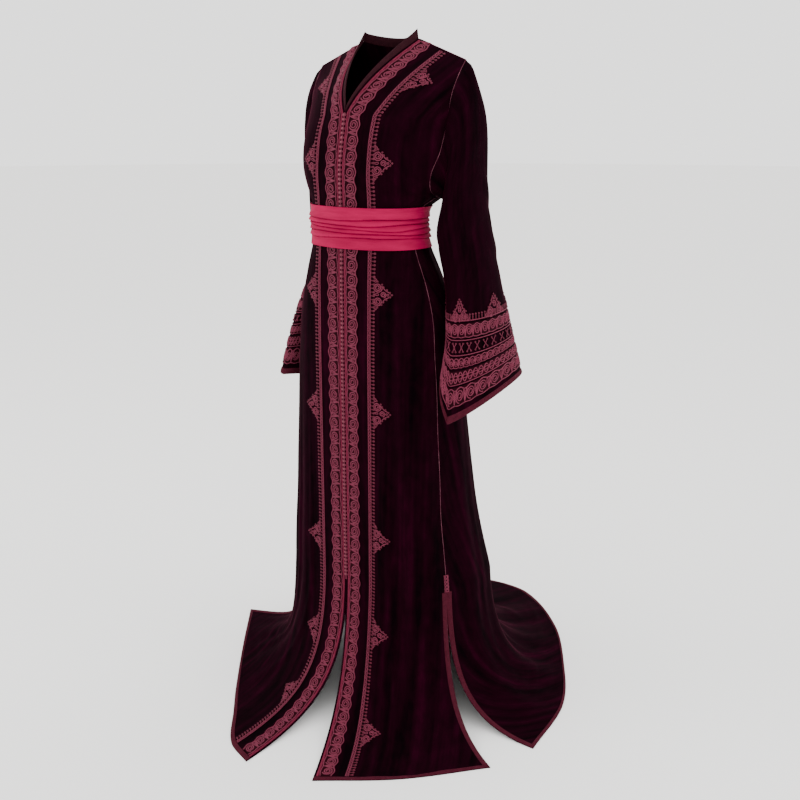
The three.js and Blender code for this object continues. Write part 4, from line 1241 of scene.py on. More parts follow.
@dataclass
class Front(Panel):
    """A front: its velvet, the braids and motifs beside its edge, and its bound side."""

    hand: Hand = Hand.LEFT
    trim_lines: tuple[float, ...] = (0, 10, 41, 64, 72, 83)
    motif_places: tuple[float, ...] = ()
    motif_scale: float = 0.98
    motif_tuck: float = 6
    # Columns under the trims, from the edge, and how many more follow to the binding.
    trim_columns: tuple[float, ...] = (
        0, 5, 10, 15, 20, 25.5, 31, 36, 41, 48, 56, 64, 68, 72, 77.5, 83)
    plain_columns: int = 46
    gathers: float = 6
    gather_clear: float = 95
    scroll_period: float = 31.0
    scroll_cord: float = 1.35
    picot_pitch: float = 7.8
    edging_cord: float = 0.8
    flat: tuple[float, float] = (0.72, 1.82)
    flat_area: float = 0.42

    def lengths(self, whole: float) -> Array:
        """Where the columns stand across a row of this length."""
        last = whole - self.figure.binding_width
        between = np.linspace(self.trim_columns[-1], last, self.plain_columns + 1)[1:]
        return np.concatenate([self.trim_columns, between, [(last + whole) / 2, whole]])

    def build(self) -> None:
        """Works out the cloth with its folds."""
        sign = self.hand.value
        self.cloth = self.grid(
            lambda row, share: self.figure.front_row(row, sign, self.hem, share), self.lengths, sign)
        self.drape(self.gathers, self.gather_clear)

    def make(self, shapes: dict[str, Shape]) -> None:
        """Makes the velvet and everything that is sewn to it."""
        name = self.hand.word
        velvet = self.cloth.shell(self.thickness).piece(f"velvet_front_{name}", [self.wardrobe.velvet])
        dress(velvet, Slot.VELVET, f"bodice_{name}", f"skirt_{name}")
        trims = [self._flat_braid(), self._scroll_braid(), self._edging(shapes), self._binding()]
        trims += [self._motif(shapes, k) for k in range(len(self.motif_places))]
        hang(velvet, self.cloth, trims)

    def _flat_braid(self) -> bpy.types.Object:
        """The chevron braid on the very edge."""
        lay = FrontLay(self.cloth, self.trim_lines[1] / 2)
        outer, step = 4.6, 1.5
        start, end = 5.0, lay.length_to(self.figure.hem_row - 1)
        work, trim = MeshWork(), Trim(spacing=3.0, ribs=0.34)
        along = np.arange(start, end, step)
        edge, inner = (lay.place(np.full(len(along), a), along, 0)
                       for a in (outer, self.trim_lines[1] - 0.2))
        trim.strip(work, edge, inner, slant=1.0)
        piece = work.piece(f"chevron_braid_{self.hand.word}", [self.wardrobe.chevron])
        return dress(piece, Slot.BRAID, f"flat_braid_{self.hand.word}")

    def _scroll_braid(self) -> bpy.types.Object:
        """The wide band of interlaced scrolls on its woven ground."""
        low, high = self.trim_lines[1:3]
        lay = FrontLay(self.cloth, (low + high) / 2)
        start, end = 6.0, lay.length_to(self.figure.hem_row - 1) - 1
        ornament = Ornament(lay, base=1.5)
        ornament.ground(low + 0.8, high - 3.6, np.arange(start, end, 5.0), top=1.5, across=7)
        ornament.scroll((low + high) / 2, (high - low) / 2, start, end, self.scroll_period,
                        self.scroll_cord)
        piece = ornament.work.piece(
            f"interlaced_braid_{self.hand.word}", [self.wardrobe.cord, self.wardrobe.net])
        return dress(piece, Slot.CORDED, f"scroll_braid_{self.hand.word}")

    def _edging(self, shapes: dict[str, Shape]) -> bpy.types.Object:
        """The narrow chain edging and its row of picots."""
        low, high = self.trim_lines[3:5]
        lay = FrontLay(self.cloth, high)
        start, end = 7.0, lay.length_to(self.figure.hem_row - 1) - 1
        ornament = Ornament(lay, base=1.3)
        ornament.ground(low, high - 0.6, np.arange(start, end, 6.0), top=1.4, across=5)
        count, pitch = ornament.repeats(start, end, self.picot_pitch)
        for across in (low + 0.8, high - 1.0):
            ornament.line(across, start, end, self.edging_cord)
        ornament.chain((low + high) / 2 - 0.2, 1.9, start, end, pitch, 0.7)
        teeth = start + (np.arange(count) + 0.5) * pitch
        ornament.knots(shapes["picot"], np.full(count, high - 0.5), teeth, (6.0, 2.6, 2.0), lift=1.0)
        ornament.knots(shapes["knot"], np.full(count, high + 7.2), teeth, (2.5, 2.5, 1.9), lift=1.2)
        piece = ornament.work.piece(
            f"picot_edging_{self.hand.word}", [self.wardrobe.cord, self.wardrobe.net])
        return dress(piece, Slot.CORDED, f"edging_{self.hand.word}")

    def _motif(self, shapes: dict[str, Shape], k: int) -> bpy.types.Object:
        """One triangular motif of spirals beyond the edging."""
        lay = FrontLay(self.cloth, self.trim_lines[5])
        ornament = Ornament(lay, base=1.2, step=2.0)
        ornament.medallion(
            shapes, self.trim_lines[5] - self.motif_tuck, self.motif_places[k], self.motif_scale)
        name = f"spiral_motif_{self.hand.word}_{k + 1}"
        piece = ornament.work.piece(name, [self.wardrobe.cord])
        return dress(piece, Slot.CORDED, f"motif_{self.hand.word}_{k + 1}")

    def _binding(self) -> bpy.types.Object:
        """Braid down the slit edge and along the hem to the front edge."""
        cloth = self.cloth
        first = cloth.index_of(self.figure.slit_row)
        inner_row = cloth.index_of(self.figure.hem_row - 1)
        slit = slice(first, None), -1
        work, trim = MeshWork(), Trim(spacing=3.0)
        edge = [np.concatenate([f[slit], f[-1, ::-1][1:]]) for f in (cloth.points, cloth.normals)]
        inside = [np.concatenate([f[first:inner_row, -3], np.repeat(f[inner_row:inner_row + 1, -3],
                                                                      len(f) - inner_row, axis=0),
                                  f[inner_row, ::-1][3:], f[inner_row, :1], f[inner_row, :1]])
                  for f in (cloth.points, cloth.normals)]
        bind(work, trim, edge, inside)
        piece = work.piece(f"bound_edge_{self.hand.word}", [self.wardrobe.ribbed])
        return dress(piece, Slot.BRAID, f"hem_binding_{self.hand.word}")


def bind(work: MeshWork, trim: Trim, edge: Sequence[Array], inside: Sequence[Array]) -> None:
    """Adds a binding between an edge and a line beside it, both given point for point."""
    count = min(len(edge[0]), len(inside[0]))
    run = run_of(edge[0][:count])
    wanted = np.arange(0, run[-1], trim.spacing)

    def even(line: Array) -> Array:
        """The line at even steps of the edge's length."""
        return sample(line[:count], run, wanted)

    trim.strip(work, (even(edge[0]), unit(even(edge[1]))), (even(inside[0]), unit(even(inside[1]))))


@dataclass
class Back(Panel):
    """The back with its long rounded train."""

    neck_share: float = 0.2965
    plain_columns: int = 121
    gathers: float = 12
    grain: float = 0.5
    flat: tuple[float, float] = (1.5, 1.85)
    flat_area: float = 1.2

    def lengths(self, whole: float) -> Array:
        """Where the columns stand across a row of this length."""
        width = self.figure.binding_width
        between = np.linspace(width, whole - width, self.plain_columns)
        return np.concatenate([[0, width / 2], between, [whole - width / 2, whole]])

    def build(self) -> None:
        """Works out the cloth with its folds."""
        self.cloth = self.grid(
            lambda row, share: self.figure.back_row(row, self.hem, share), self.lengths, 1)
        self.cloth.grain = self.grain
        self.drape(self.gathers, 0)

    def make(self) -> None:
        """Makes the velvet and its binding."""
        velvet = self.cloth.shell(self.thickness).piece("velvet_back", [self.wardrobe.velvet])
        dress(velvet, Slot.VELVET, "bodice_back", "skirt_back")
        hang(velvet, self.cloth, [self._binding()])

    def _binding(self) -> bpy.types.Object:
        """Braid down one slit, round the hem and up the other slit."""
        cloth = self.cloth
        first = cloth.index_of(self.figure.slit_row)
        inner_row = cloth.index_of(self.figure.hem_row - 1)
        edges, insides = [], []
        for f in (cloth.points, cloth.normals):
            down, up = f[first:, 0], f[first:, -1][::-1]
            edges.append(np.concatenate([down, f[-1, 1:-1], up]))
            held = len(down) - (inner_row - first)
            left = np.concatenate([f[first:inner_row, 2], np.repeat(f[inner_row:inner_row + 1, 2], held, 0)])
            right = np.concatenate([f[first:inner_row, -3],
                                    np.repeat(f[inner_row:inner_row + 1, -3], held, 0)])[::-1]
            middle = f[inner_row, np.clip(np.arange(1, f.shape[1] - 1), 2, f.shape[1] - 3)]
            insides.append(np.concatenate([left, middle, right]))
        work = MeshWork()
        bind(work, Trim(spacing=3.0), edges, insides)
        piece = work.piece("bound_edge_back", [self.wardrobe.ribbed])
        return dress(piece, Slot.BRAID, "hem_binding_back")


# ---------------------------------------------------------------- sleeves

SLEEVE_FIELDS = ("x", "y", "height", "outX", "outY", "outZ", "inX", "inY", "inZ",
                 "backX", "backY", "backZ")


@dataclass(frozen=True)
class CuffPlan:
    """The cuff's bands and lines: shares of its depth from the mouth up, and sizes."""

    # Lower and upper edge of each scroll band, its repeat, and the radius of its cords.
    scrolls: tuple[tuple[float, float, float, float], ...] = (
        (0.03, 0.24, 27.0, 1.2), (0.435, 0.55, 15.0, 0.95), (0.77, 0.94, 22.0, 1.1))
    chain_edges: tuple[float, float] = (0.27, 0.41)
    chain_middle: float = 0.34
    # Half the width of each chain and the radius of its cords.
    chains: tuple[tuple[float, float], ...] = ((0.055, 1.15), (0.02, 0.95))
    link: float = 13.0
    ground_step: float = 6
    # Height of each plain cord and its radius.
    lines: tuple[tuple[float, float], ...] = ((0.265, 0.95), (0.575, 0.95), (0.745, 0.95))
    top_line: tuple[float, float] = (0.975, 1.1)
    florets: float = 0.66
    floret_pitch: float = 22
    floret_size: float = 6.2
    teeth: float = 0.98
    tooth_pitch: float = 8.6
    knots_past: float = 8.6
    medallions: int = 5
    medallion_foot: float = 0.96
    medallion_scale: float = 0.9


@dataclass
class Sleeve:
    """A trumpet sleeve with its embroidered cuff."""

    figure: Figure
    wardrobe: Wardrobe
    hand: Hand
    front: Front
    back: Back
    sections: tuple[tuple[float, ...], ...]
    creases: Table
    roundness: float = 2.2
    columns: int = 100
    rows: int = 110
    thickness: float = 1.7
    setback: float = 1.3
    # How far the shoulder is rounded out, over which share of the girth, and from which step.
    crown: float = 7.0
    crown_share: float = 0.13
    crown_step: float = 0.25
    crown_fade: float = 0.9
    plan: CuffPlan = CuffPlan()
    binding_steps: tuple[float, float] = (5.0, 4.9)
    flat: tuple[float, float] = (0.72, 0.74)
    flat_area: float = 0.24

    def _armhole(self) -> Callable[[Array], Array]:
        """The armhole's loop, down the front and up the back, by shares of each half's length."""
        last = self.front.cloth.index_of(self.figure.underarm_row)
        down = self.front.cloth.points[:last + 1, -1]
        up = self.back.cloth.points[:last + 1, 0 if self.hand is Hand.LEFT else -1][::-1]

        def at(share: Array) -> Array:
            """Points of the loop."""
            halves = []
            for path, part in ((down, share * 2), (up, share * 2 - 1)):
                run = run_of(path)
                halves.append(sample(path, run, np.clip(part, 0, 1) * run[-1]))
            return np.where((share < 0.5)[:, None], halves[0], halves[1])

        return at

    @staticmethod
    def _curve(knots: Array, share: float) -> Array:
        """A centripetal spline through rows of knots, at a share of its whole."""
        last = len(knots) - 1
        place = min(share * last, last - 1e-9)
        k = int(place)
        before = knots[k - 1] if k else 2 * knots[0] - knots[1]
        after = knots[k + 2] if k + 2 <= last else 2 * knots[last] - knots[last - 1]
        p = [before, knots[k], knots[k + 1], after]
        dt = [np.maximum(np.linalg.norm(p[n + 1] - p[n], axis=-1, keepdims=True), 1e-4) ** 0.5
              for n in range(3)]
        one = (p[1] - p[0]) / dt[0] - (p[2] - p[0]) / (dt[0] + dt[1]) + (p[2] - p[1]) / dt[1]
        two = (p[2] - p[1]) / dt[1] - (p[3] - p[1]) / (dt[1] + dt[2]) + (p[3] - p[2]) / dt[2]
        one, two = one * dt[1], two * dt[1]
        t = place - k
        cubic = 2 * p[1] - 2 * p[2] + one + two
        square = -3 * p[1] + 3 * p[2] - 2 * one - two
        return p[1] + one * t + square * t * t + cubic * t ** 3

    def build(self) -> None:
        """Works out the cloth with its creases."""
        mirror = self.hand.value
        share = np.arange(self.columns) / self.columns
        turn = share * 2 * math.pi
        power = 2 / self.roundness
        cosine = np.sign(np.cos(turn)) * np.abs(np.cos(turn)) ** power
        sine = np.sign(np.sin(turn)) * np.abs(np.sin(turn)) ** power
        knots = [self._armhole()(share)]
        for row in self.sections:
            s = dict(zip(SLEEVE_FIELDS, row))
            outer = np.array([s["outX"], s["outY"], s["outZ"]])
            inner = -np.array([s["inX"], s["inY"], s["inZ"]])
            side = np.where((cosine > 0)[:, None], outer, inner)
            centre = np.array([s["x"], s["y"], s["height"] - self.figure.neck_height])
            depth = np.array([s["backX"], s["backY"], s["backZ"]])
            points = centre + side * cosine[:, None] - depth * sine[:, None]
            knots.append(points * [mirror, 1, 1])
        knots = np.array(knots)
        steps = np.linspace(0, len(self.sections), self.rows)
        points = np.array([self._curve(knots, step / len(self.sections)) for step in steps])
        away = unit(points[1] - points[0])
        points[0] = points[0] + away * self.setback
        self.cloth = Cloth(points, steps, -mirror, closed=True)
        high = np.exp(-((np.minimum(share, 1 - share) / self.crown_share) ** 2))
        rounded = ease(steps / self.crown_step) * (
            1 - ease((steps - self.crown_step) / self.crown_fade))
        self.cloth.push(self.crown * rounded[:, None] * high[None, :])
        self.cloth.crease(self.creases)

    def make(self, shapes: dict[str, Shape]) -> None:
        """Makes the velvet, the cuff and its binding."""
        name = self.hand.word
        velvet = self.cloth.shell(self.thickness).piece(f"velvet_sleeve_{name}", [self.wardrobe.velvet])
        dress(velvet, Slot.VELVET, f"sleeve_{name}")
        hang(velvet, self.cloth, [self._cuff(shapes), self._binding()])

    def _cuff(self, shapes: dict[str, Shape]) -> bpy.types.Object:
        """Bands of corded ornament round the sleeve, with pointed motifs above."""
        lay, plan = CuffLay(self.cloth), self.plan
        girth, depth = lay.girth, lay.depth
        ornament = Ornament(lay, base=1.5, step=2.6)
        count = int(girth / plan.ground_step)
        stations = np.arange(count) * girth / count

        def ground(low: float, high: float) -> None:
            """The woven ground under a band."""
            ornament.ground(depth * low, depth * high, stations, top=1.5, across=6, ring=True)

        for low, high, period, radius in plan.scrolls:
            ground(low, high)
            ornament.scroll(depth * (low + high) / 2, depth * (high - low) / 2, 0, girth, period,
                            radius, ring=True)
        ground(*plan.chain_edges)
        for half, radius in plan.chains:
            ornament.chain(depth * plan.chain_middle, depth * half, 0, girth, plan.link, radius,
                           ring=True)
        for across, radius in plan.lines:
            ornament.line(depth * across, 0, girth, radius, ring=True)
        florets = round(girth / plan.floret_pitch)
        for k in range(florets):
            ornament.floret(shapes, depth * plan.florets, (k + 0.5) * girth / florets,
                            plan.floret_size)
        across, radius = plan.top_line
        ornament.line(depth * across, 0, girth, radius, ring=True)
        count, pitch = ornament.repeats(0, girth, plan.tooth_pitch)
        teeth = (np.arange(count) + 0.5) * pitch
        foot = depth * plan.teeth
        ornament.knots(shapes["picot"], np.full(count, foot), teeth, (7.5, 2.8, 2.1), lift=1.0)
        ornament.knots(shapes["knot"], np.full(count, foot + plan.knots_past), teeth,
                       (2.2, 2.2, 1.7), lift=1.0)
        for k in range(plan.medallions):
            ornament.medallion(shapes, depth * plan.medallion_foot, k * girth / plan.medallions,
                               plan.medallion_scale)
        piece = ornament.work.piece(
            f"corded_cuff_{self.hand.word}", [self.wardrobe.cord, self.wardrobe.net])
        return dress(piece, Slot.CORDED, f"cuff_{self.hand.word}")

    def _binding(self) -> bpy.types.Object:
        """The braid round the sleeve's mouth."""
        lines, stations = [], 240
        for step in self.binding_steps:
            points, normals = self.cloth.at_row(step)
            both = np.concatenate([points, normals], axis=1)
            both = resample(np.concatenate([both, both[:1]]), stations + 1)[:-1]
            lines.append((both[:, :3], unit(both[:, 3:])))
        work = MeshWork()
        Trim().strip(work, lines[0], lines[1], closed=True)
        piece = work.piece(f"bound_cuff_{self.hand.word}", [self.wardrobe.ribbed])
        return dress(piece, Slot.BRAID, f"cuff_binding_{self.hand.word}")


# ---------------------------------------------------------------- closure, neck, slits, sash


@dataclass
class Closure:
    """The row of knotted buttons and loops down the middle."""

    fronts: dict[Hand, Front]
    wardrobe: Wardrobe
    pitch: float = 9.0
    knot: tuple[float, float, float] = (2.7, 2.7, 2.5)
    knot_lift: float = 4.0
    # Each loop's cord: its radius, stations, height at the knot and how far it falls from there,
    # its start beside the middle, its reach and half its width.
    loop_cord: float = 0.85
    stations: int = 9
    loop_lift: float = 3.6
    fall: float = 0.9
    beside: float = 1.2
    reach: float = 3.0
    loop_half: float = 2.7
    # The cord along each front edge: its radius, height and stations.
    edge_cord: float = 0.8
    edge_lift: float = 2.4
    edge_stations: int = 200

    def make(self, shapes: dict[str, Shape]) -> None:
        """Makes the row as one piece."""
        left, right = (self.fronts[hand].cloth for hand in (Hand.LEFT, Hand.RIGHT))
        figure = self.fronts[Hand.LEFT].figure
        rows = (left.rows >= figure.v_row) & (left.rows <= figure.slit_row)
        middle = (left.points[rows, 0] + right.points[rows, 0]) / 2
        normal = left.normals[rows, 0] + right.normals[rows, 0]
        normal = unit(normal * [0, 1, 1])
        run = run_of(middle)
        count = int(run[-1] / self.pitch)
        spots = (np.arange(count) + 0.5) * self.pitch
        places, out = sample(middle, run, spots), unit(sample(normal, run, spots))
        side = np.tile([1.0, 0.0, 0.0], (count, 1))
        down = unit(np.cross(out, side))
        work = MeshWork()
        work.place(shapes["knot"], places + out * self.knot_lift, np.stack([side, down, out], axis=1),
                   self.knot, finish=1)
        turn = np.arange(self.stations) * 2 * math.pi / self.stations
        grow = (1 - np.cos(turn)) / 2
        for sign in (-1, 1):
            for k in range(count):
                track = (places[k] + out[k] * (self.loop_lift - self.fall * grow[:, None])
                         + side[k] * sign * (self.beside + self.reach * grow)[:, None]
                         + down[k] * (self.loop_half * np.sin(turn) * grow)[:, None])
                normals = np.tile(out[k], (self.stations, 1))
                work.tube(track, normals, self.loop_cord, closed=True)
        for sign in (-1, 1):
            track = middle + normal * self.edge_lift + np.array([sign * self.beside, 0, 0])
            work.tube(resample(track, self.edge_stations), resample(normal, self.edge_stations),
                      self.edge_cord)
        piece = work.piece("button_knots", [self.wardrobe.cord, self.wardrobe.knot])
        dress(piece, Slot.CORDED, "button_row")


@dataclass
class Neckband:
    """The narrow stand round the neck and down the V."""

    fronts: dict[Hand, Front]
    back: Back
    wardrobe: Wardrobe
    stand: float = 19
    foot: float = 5
    wall: float = 2.4
    lift: float = 0.9
    tuck: float = 1.5
    # Share of the back's top row that stays free beside each shoulder seam.
    margin: float = 0.02
    # Share of the stand and of the wall at each corner of the band's section.
    profile: tuple[tuple[float, float], ...] = (
        (0, 0.8), (0.1, 1), (0.85, 1), (0.97, 0.6), (1, 0), (0.97, -0.6), (0.85, -1), (0.1, -1),
        (0, -0.8))

    def make(self) -> None:
        """Makes the band as one strip."""
        left = self._front_loops(self.fronts[Hand.LEFT].cloth, 1)[::-1]
        right = self._front_loops(self.fronts[Hand.RIGHT].cloth, -1)
        cloth = self.back.cloth
        share = cloth.across[0] / cloth.across[0, -1]
        first = self.back.neck_share + self.margin
        inside = (share > first) & (share < 1 - self.back.neck_share - self.margin)
        base = cloth.points[0, inside]
        rise = np.tile(unit(np.array([0, -0.15, 1.0])), (len(base), 1))
        outward = unit(base * [0.9, 0, 0] + [0, 60, 0])
        stand = np.full(len(base), self.stand)
        behind = self._loops(base, rise, outward, stand, self.lift - self.tuck)
        work = MeshWork()
        work.sweep(np.concatenate([left, behind, right]), False)
        dress(work.piece("stand_collar", [self.wardrobe.collar], 60), Slot.BRAID, "neckband")

    def _front_loops(self, cloth: Cloth, hand: int) -> Array:
        """Sections of the band up one front, from the shoulder down to the V."""
        v_row = self.back.figure.v_row
        count = cloth.index_of(v_row) + 1
        base, outward = cloth.points[:count, 0], cloth.normals[:count, 0]
        down = unit(cloth.points[1:count + 1, 0] - base)
        opening = unit(np.cross(down, outward) * hand)
        share = cloth.rows[:count] / v_row
        upright = 0.85 * (1 - share) ** 2 + ease((share - 0.75) / 0.25) ** 4
        rise = unit(mix(opening, np.array([0, 0, 1.0]), np.clip(upright, 0, 1)[:, None]))
        stand = mix(self.stand, self.foot, share ** 0.5)
        return self._loops(base, rise, outward, stand, self.lift)

    def _loops(self, base: Array, rise: Array, outward: Array, stand: Array, lift: float) -> Array:
        """Rounded sections of the band at its stations."""
        side = outward - rise * np.sum(outward * rise, axis=-1, keepdims=True)
        side = unit(side) * self.wall / 2
        foot = base + rise * lift
        loops = [foot + rise * (stand * up)[:, None] + side * out for up, out in self.profile]
        return np.stack(loops, axis=1)


@dataclass
class SlitKnot:
    """The small corded bar above a side slit."""

    figure: Figure
    wardrobe: Wardrobe
    front: Front
    height: float = 40
    half: float = 5
    stations: int = 41
    links: float = 2.5
    chain_half: float = 3.2
    chain_cord: float = 1.2
    edge_cord: float = 1.0
    knot: tuple[float, float, float] = (1.9, 1.9, 1.7)
    first_knot: int = 4
    knot_step: int = 8

    def make(self, shapes: dict[str, Shape]) -> None:
        """Makes the bar: a chain between two cords, with knots down both sides."""
        hand, figure = self.front.hand, self.figure
        heights = figure.slit_height + figure.seam + np.linspace(0, self.height, self.stations)
        turns = np.radians(figure.sections.read(heights, "seam"))
        spine = figure.point(heights, turns, hand.value)
        outward = np.array([figure.outward(h, np.array([t]), np.array([hand.value]))[0]
                            for h, t in zip(heights, turns)])
        across = np.stack([-outward[:, 1], outward[:, 0], outward[:, 2]], -1)
        work = MeshWork()
        wave = np.linspace(0, self.links * 2 * math.pi, self.stations)
        for sign in (-1, 1):
            track = spine + across * (sign * self.chain_half * np.sin(wave))[:, None]
            track = track + outward * (3.2 + sign * 0.5 * np.cos(wave))[:, None]
            work.tube(track, outward, self.chain_cord)
            edge = spine + across * sign * (self.half - 0.6) + outward * 2.6
            work.tube(edge, outward, self.edge_cord)
        picks = np.arange(self.first_knot, self.stations, self.knot_step)
        for sign in (-1, 1):
            axes = np.stack([across[picks] * sign, np.cross(outward[picks], across[picks] * sign),
                             outward[picks]], axis=1)
            spots = spine[picks] + across[picks] * sign * (self.half - 0.8) + outward[picks] * 3.0
            work.place(shapes["knot"], spots, axes, self.knot)
        piece = work.piece(f"slit_bar_{hand.word}", [self.wardrobe.cord])
        dress(piece, Slot.CORDED, f"slit_knot_{hand.word}")


@dataclass
class Sash:
    """The crepe sash, folded in uneven pleats and closed out of sight."""

    figure: Figure
    wardrobe: Wardrobe
    low: float = 1045
    width: float = 84
    wall: float = 2
    clearance: float = 4
    over_buttons: float = 2.4
    bulge_width: float = 26
    columns: int = 220
    face_steps: int = 84
    swell: float = 0.35
    ripple: float = 0.8
    last_pleat: float = 11
    lip: float = 1.4
    groove: float = 1.5
    groove_place: float = 1.6
    # Height of each pleat's lower edge, how far it stands out, and how its line wanders.
    pleats: tuple[tuple[float, float, float, float], ...] = (
        (23, 4.6, 2.6, 0.4),
        (33, 5.2, 2.0, 1.9),
        (42, 4.2, 3.0, 3.1),
        (51, 5.4, 2.4, 4.4),
        (61, 5.0, 1.8, 5.5),
    )
    flat: tuple[float, float] = (0.11, 0.77)

    def relief(self, up: Array, turn: float) -> Array:
        """How far the face stands out at heights above the lower edge."""
        edges = [edge + wander * math.sin(turn * 2 + start)
                 + self.ripple * math.sin(turn * 5 + start * 2)
                 for edge, _, wander, start in self.pleats]
        total = self.swell * np.sin(up / self.width * math.pi)
        for k, (_, depth, _, start) in enumerate(self.pleats):
            above = edges[k + 1] if k + 1 < len(edges) else edges[k] + self.last_pleat
            share = (up - edges[k]) / (above - edges[k])
            depth = depth * (1 + 0.25 * math.sin(turn * 3 + start))
            face = depth * (1 - np.clip(share, 0, 1)) ** 0.7
            rise = ease((up - edges[k] + self.lip) / self.lip)
            total = np.maximum(total, np.where(share < 1, face, 0) * rise)
        for edge in edges:
            total -= self.groove * np.exp(-((up - edge + self.groove_place) ** 2))
        return total

    def make(self) -> None:
        """Makes the sash as a closed ring."""
        up = np.linspace(0, self.width, self.face_steps + 1)
        back = np.linspace(self.face_steps, 0, 4).astype(int)
        loops = []
        for k in range(self.columns):
            around = 2 * math.pi * k / self.columns
            hand = 1 if around < math.pi else -1
            turn = around if hand > 0 else 2 * math.pi - around
            points = self.figure.point(self.low + up, np.full(len(up), turn), hand)
            outward = self.figure.outward(
                self.low + self.width / 2, np.array([turn]), np.array([hand]))[0]
            over = math.exp(-((points[0, 0] / self.bulge_width) ** 2)) if turn < 1 else 0
            clear = self.clearance + self.over_buttons * over
            outer = points + outward * (clear + self.wall + self.relief(up, around))[:, None]
            inner = points[back] + outward * clear
            loops.append(np.concatenate([outer, inner]))
        work = MeshWork()
        work.sweep(np.array(loops), True)
        piece = dress(work.piece("pleated_sash", [self.wardrobe.crepe], 70), Slot.SASH, "belt")


@dataclass
class Seams:
    """The narrow ridges of pile along the shoulder, armhole and side seams, coloured light as painted
    highlight: the light the pile catches there.
    """

    fronts: dict[Hand, Front]
    wardrobe: Wardrobe
    radius: float = 0.7
    lift: float = 0.55

    def make(self) -> None:
        """Makes every seam line as one piece."""
        work = MeshWork()
        for front in self.fronts.values():
            cloth = front.cloth
            slit = cloth.index_of(front.figure.slit_row)
            for track, normals in ((cloth.points[:slit + 1, -1], cloth.normals[:slit + 1, -1]),
                                   (cloth.points[0, 1:], cloth.normals[0, 1:])):
                work.tube(track + normals * self.lift, normals, self.radius)
        dress(work.piece("seam_highlight_lines", [self.wardrobe.seam]), Slot.VELVET)


# ---------------------------------------------------------------- studio


@dataclass(frozen=True)
class Lamp:
    """A soft square light: its place and size in metres, and its power in watts."""

    name: str
    place: tuple[float, float, float]
    size: float
    power: float


@dataclass
class Studio:
    """A plain pale floor, soft light and the camera. Its lengths are metres."""

    floor_height: float = -1.46
    floor_radius: float = 30.0
    distance: float = 2.2
    bearing: float = 38
    eye_height: float = 1.3
    sensor: float = 36
    lens: float = 45.05
    # How far the view is turned down and aside, as tangents.
    down: float = 280 / 1001
    aside: float = 12 / 1001
    air: tuple[float, float, float, float] = (1.0, 0.995, 0.985, 1)
    air_strength: float = 2.0
    lamps: tuple[Lamp, ...] = (
        Lamp("window_left", (-2.8, -2.6, 1.4), 2.0, 50),
        Lamp("window_right", (3.4, 0.4, 1.0), 1.6, 26),
        Lamp("ceiling", (0.2, 0.2, 2.8), 2.4, 30),
    )

    def camera(self) -> None:
        """Places the camera at standing height, at the wearer's left front."""
        turn = math.radians(self.bearing)
        place = Vector((self.distance * math.sin(turn), -self.distance * math.cos(turn),
                        self.eye_height + self.floor_height))
        pitch = math.atan(self.down)
        yaw = math.atan(self.aside * math.cos(pitch))
        level = Vector((-math.sin(turn), math.cos(turn), 0)) * math.cos(yaw)
        level += Vector((math.cos(turn), math.sin(turn), 0)) * math.sin(yaw)
        right = level.cross(Vector((0, 0, 1)))
        ahead = level * math.cos(pitch) - Vector((0, 0, 1)) * math.sin(pitch)
        up = right.cross(ahead)
        data = bpy.data.cameras.new("studio_camera")
        data.sensor_width, data.lens = self.sensor, self.lens
        camera = bpy.data.objects.new("studio_camera", data)
        turned = Matrix((right, up, -ahead)).transposed().to_4x4()
        camera.matrix_world = Matrix.Translation(place) @ turned
        bpy.context.scene.collection.objects.link(camera)
        bpy.context.scene.camera = camera

    def floor(self) -> None:
        """Lays the wide pale floor."""
        bpy.ops.object.select_all(action="DESELECT")
        bpy.ops.mesh.primitive_circle_add(
            vertices=96, radius=self.floor_radius, fill_type="NGON", location=(0, 0, self.floor_height))
        floor = bpy.context.object
        floor.name = "studio_floor"
        bpy.ops.object.transform_apply(location=True)
        board = NodeBoard("studio_floor")
        board.surface(Base_Color=(0.93, 0.925, 0.918, 1), Roughness=0.95, Specular_IOR_Level=0.05)
        floor.data.materials.append(board.material)

    def light(self, lamp: Lamp) -> None:
        """Hangs a lamp that faces the garment."""
        data = bpy.data.lights.new(lamp.name, "AREA")
        data.size, data.energy = lamp.size, lamp.power
        hung = bpy.data.objects.new(lamp.name, data)
        hung.location = lamp.place
        aim = Vector((0, 0, self.floor_height / 2)) - Vector(lamp.place)
        hung.rotation_euler = aim.to_track_quat("-Z", "Y").to_euler()
        bpy.context.scene.collection.objects.link(hung)

    def build(self) -> None:
        """Sets up the whole studio."""
        self.camera()
        self.floor()
        world = bpy.data.worlds.new("studio_air")
        world.use_nodes = True
        back = world.node_tree.nodes["Background"]
        back.inputs["Color"].default_value = self.air
        back.inputs["Strength"].default_value = self.air_strength
        bpy.context.scene.world = world
        for lamp in self.lamps:
            self.light(lamp)


# ---------------------------------------------------------------- the caftan

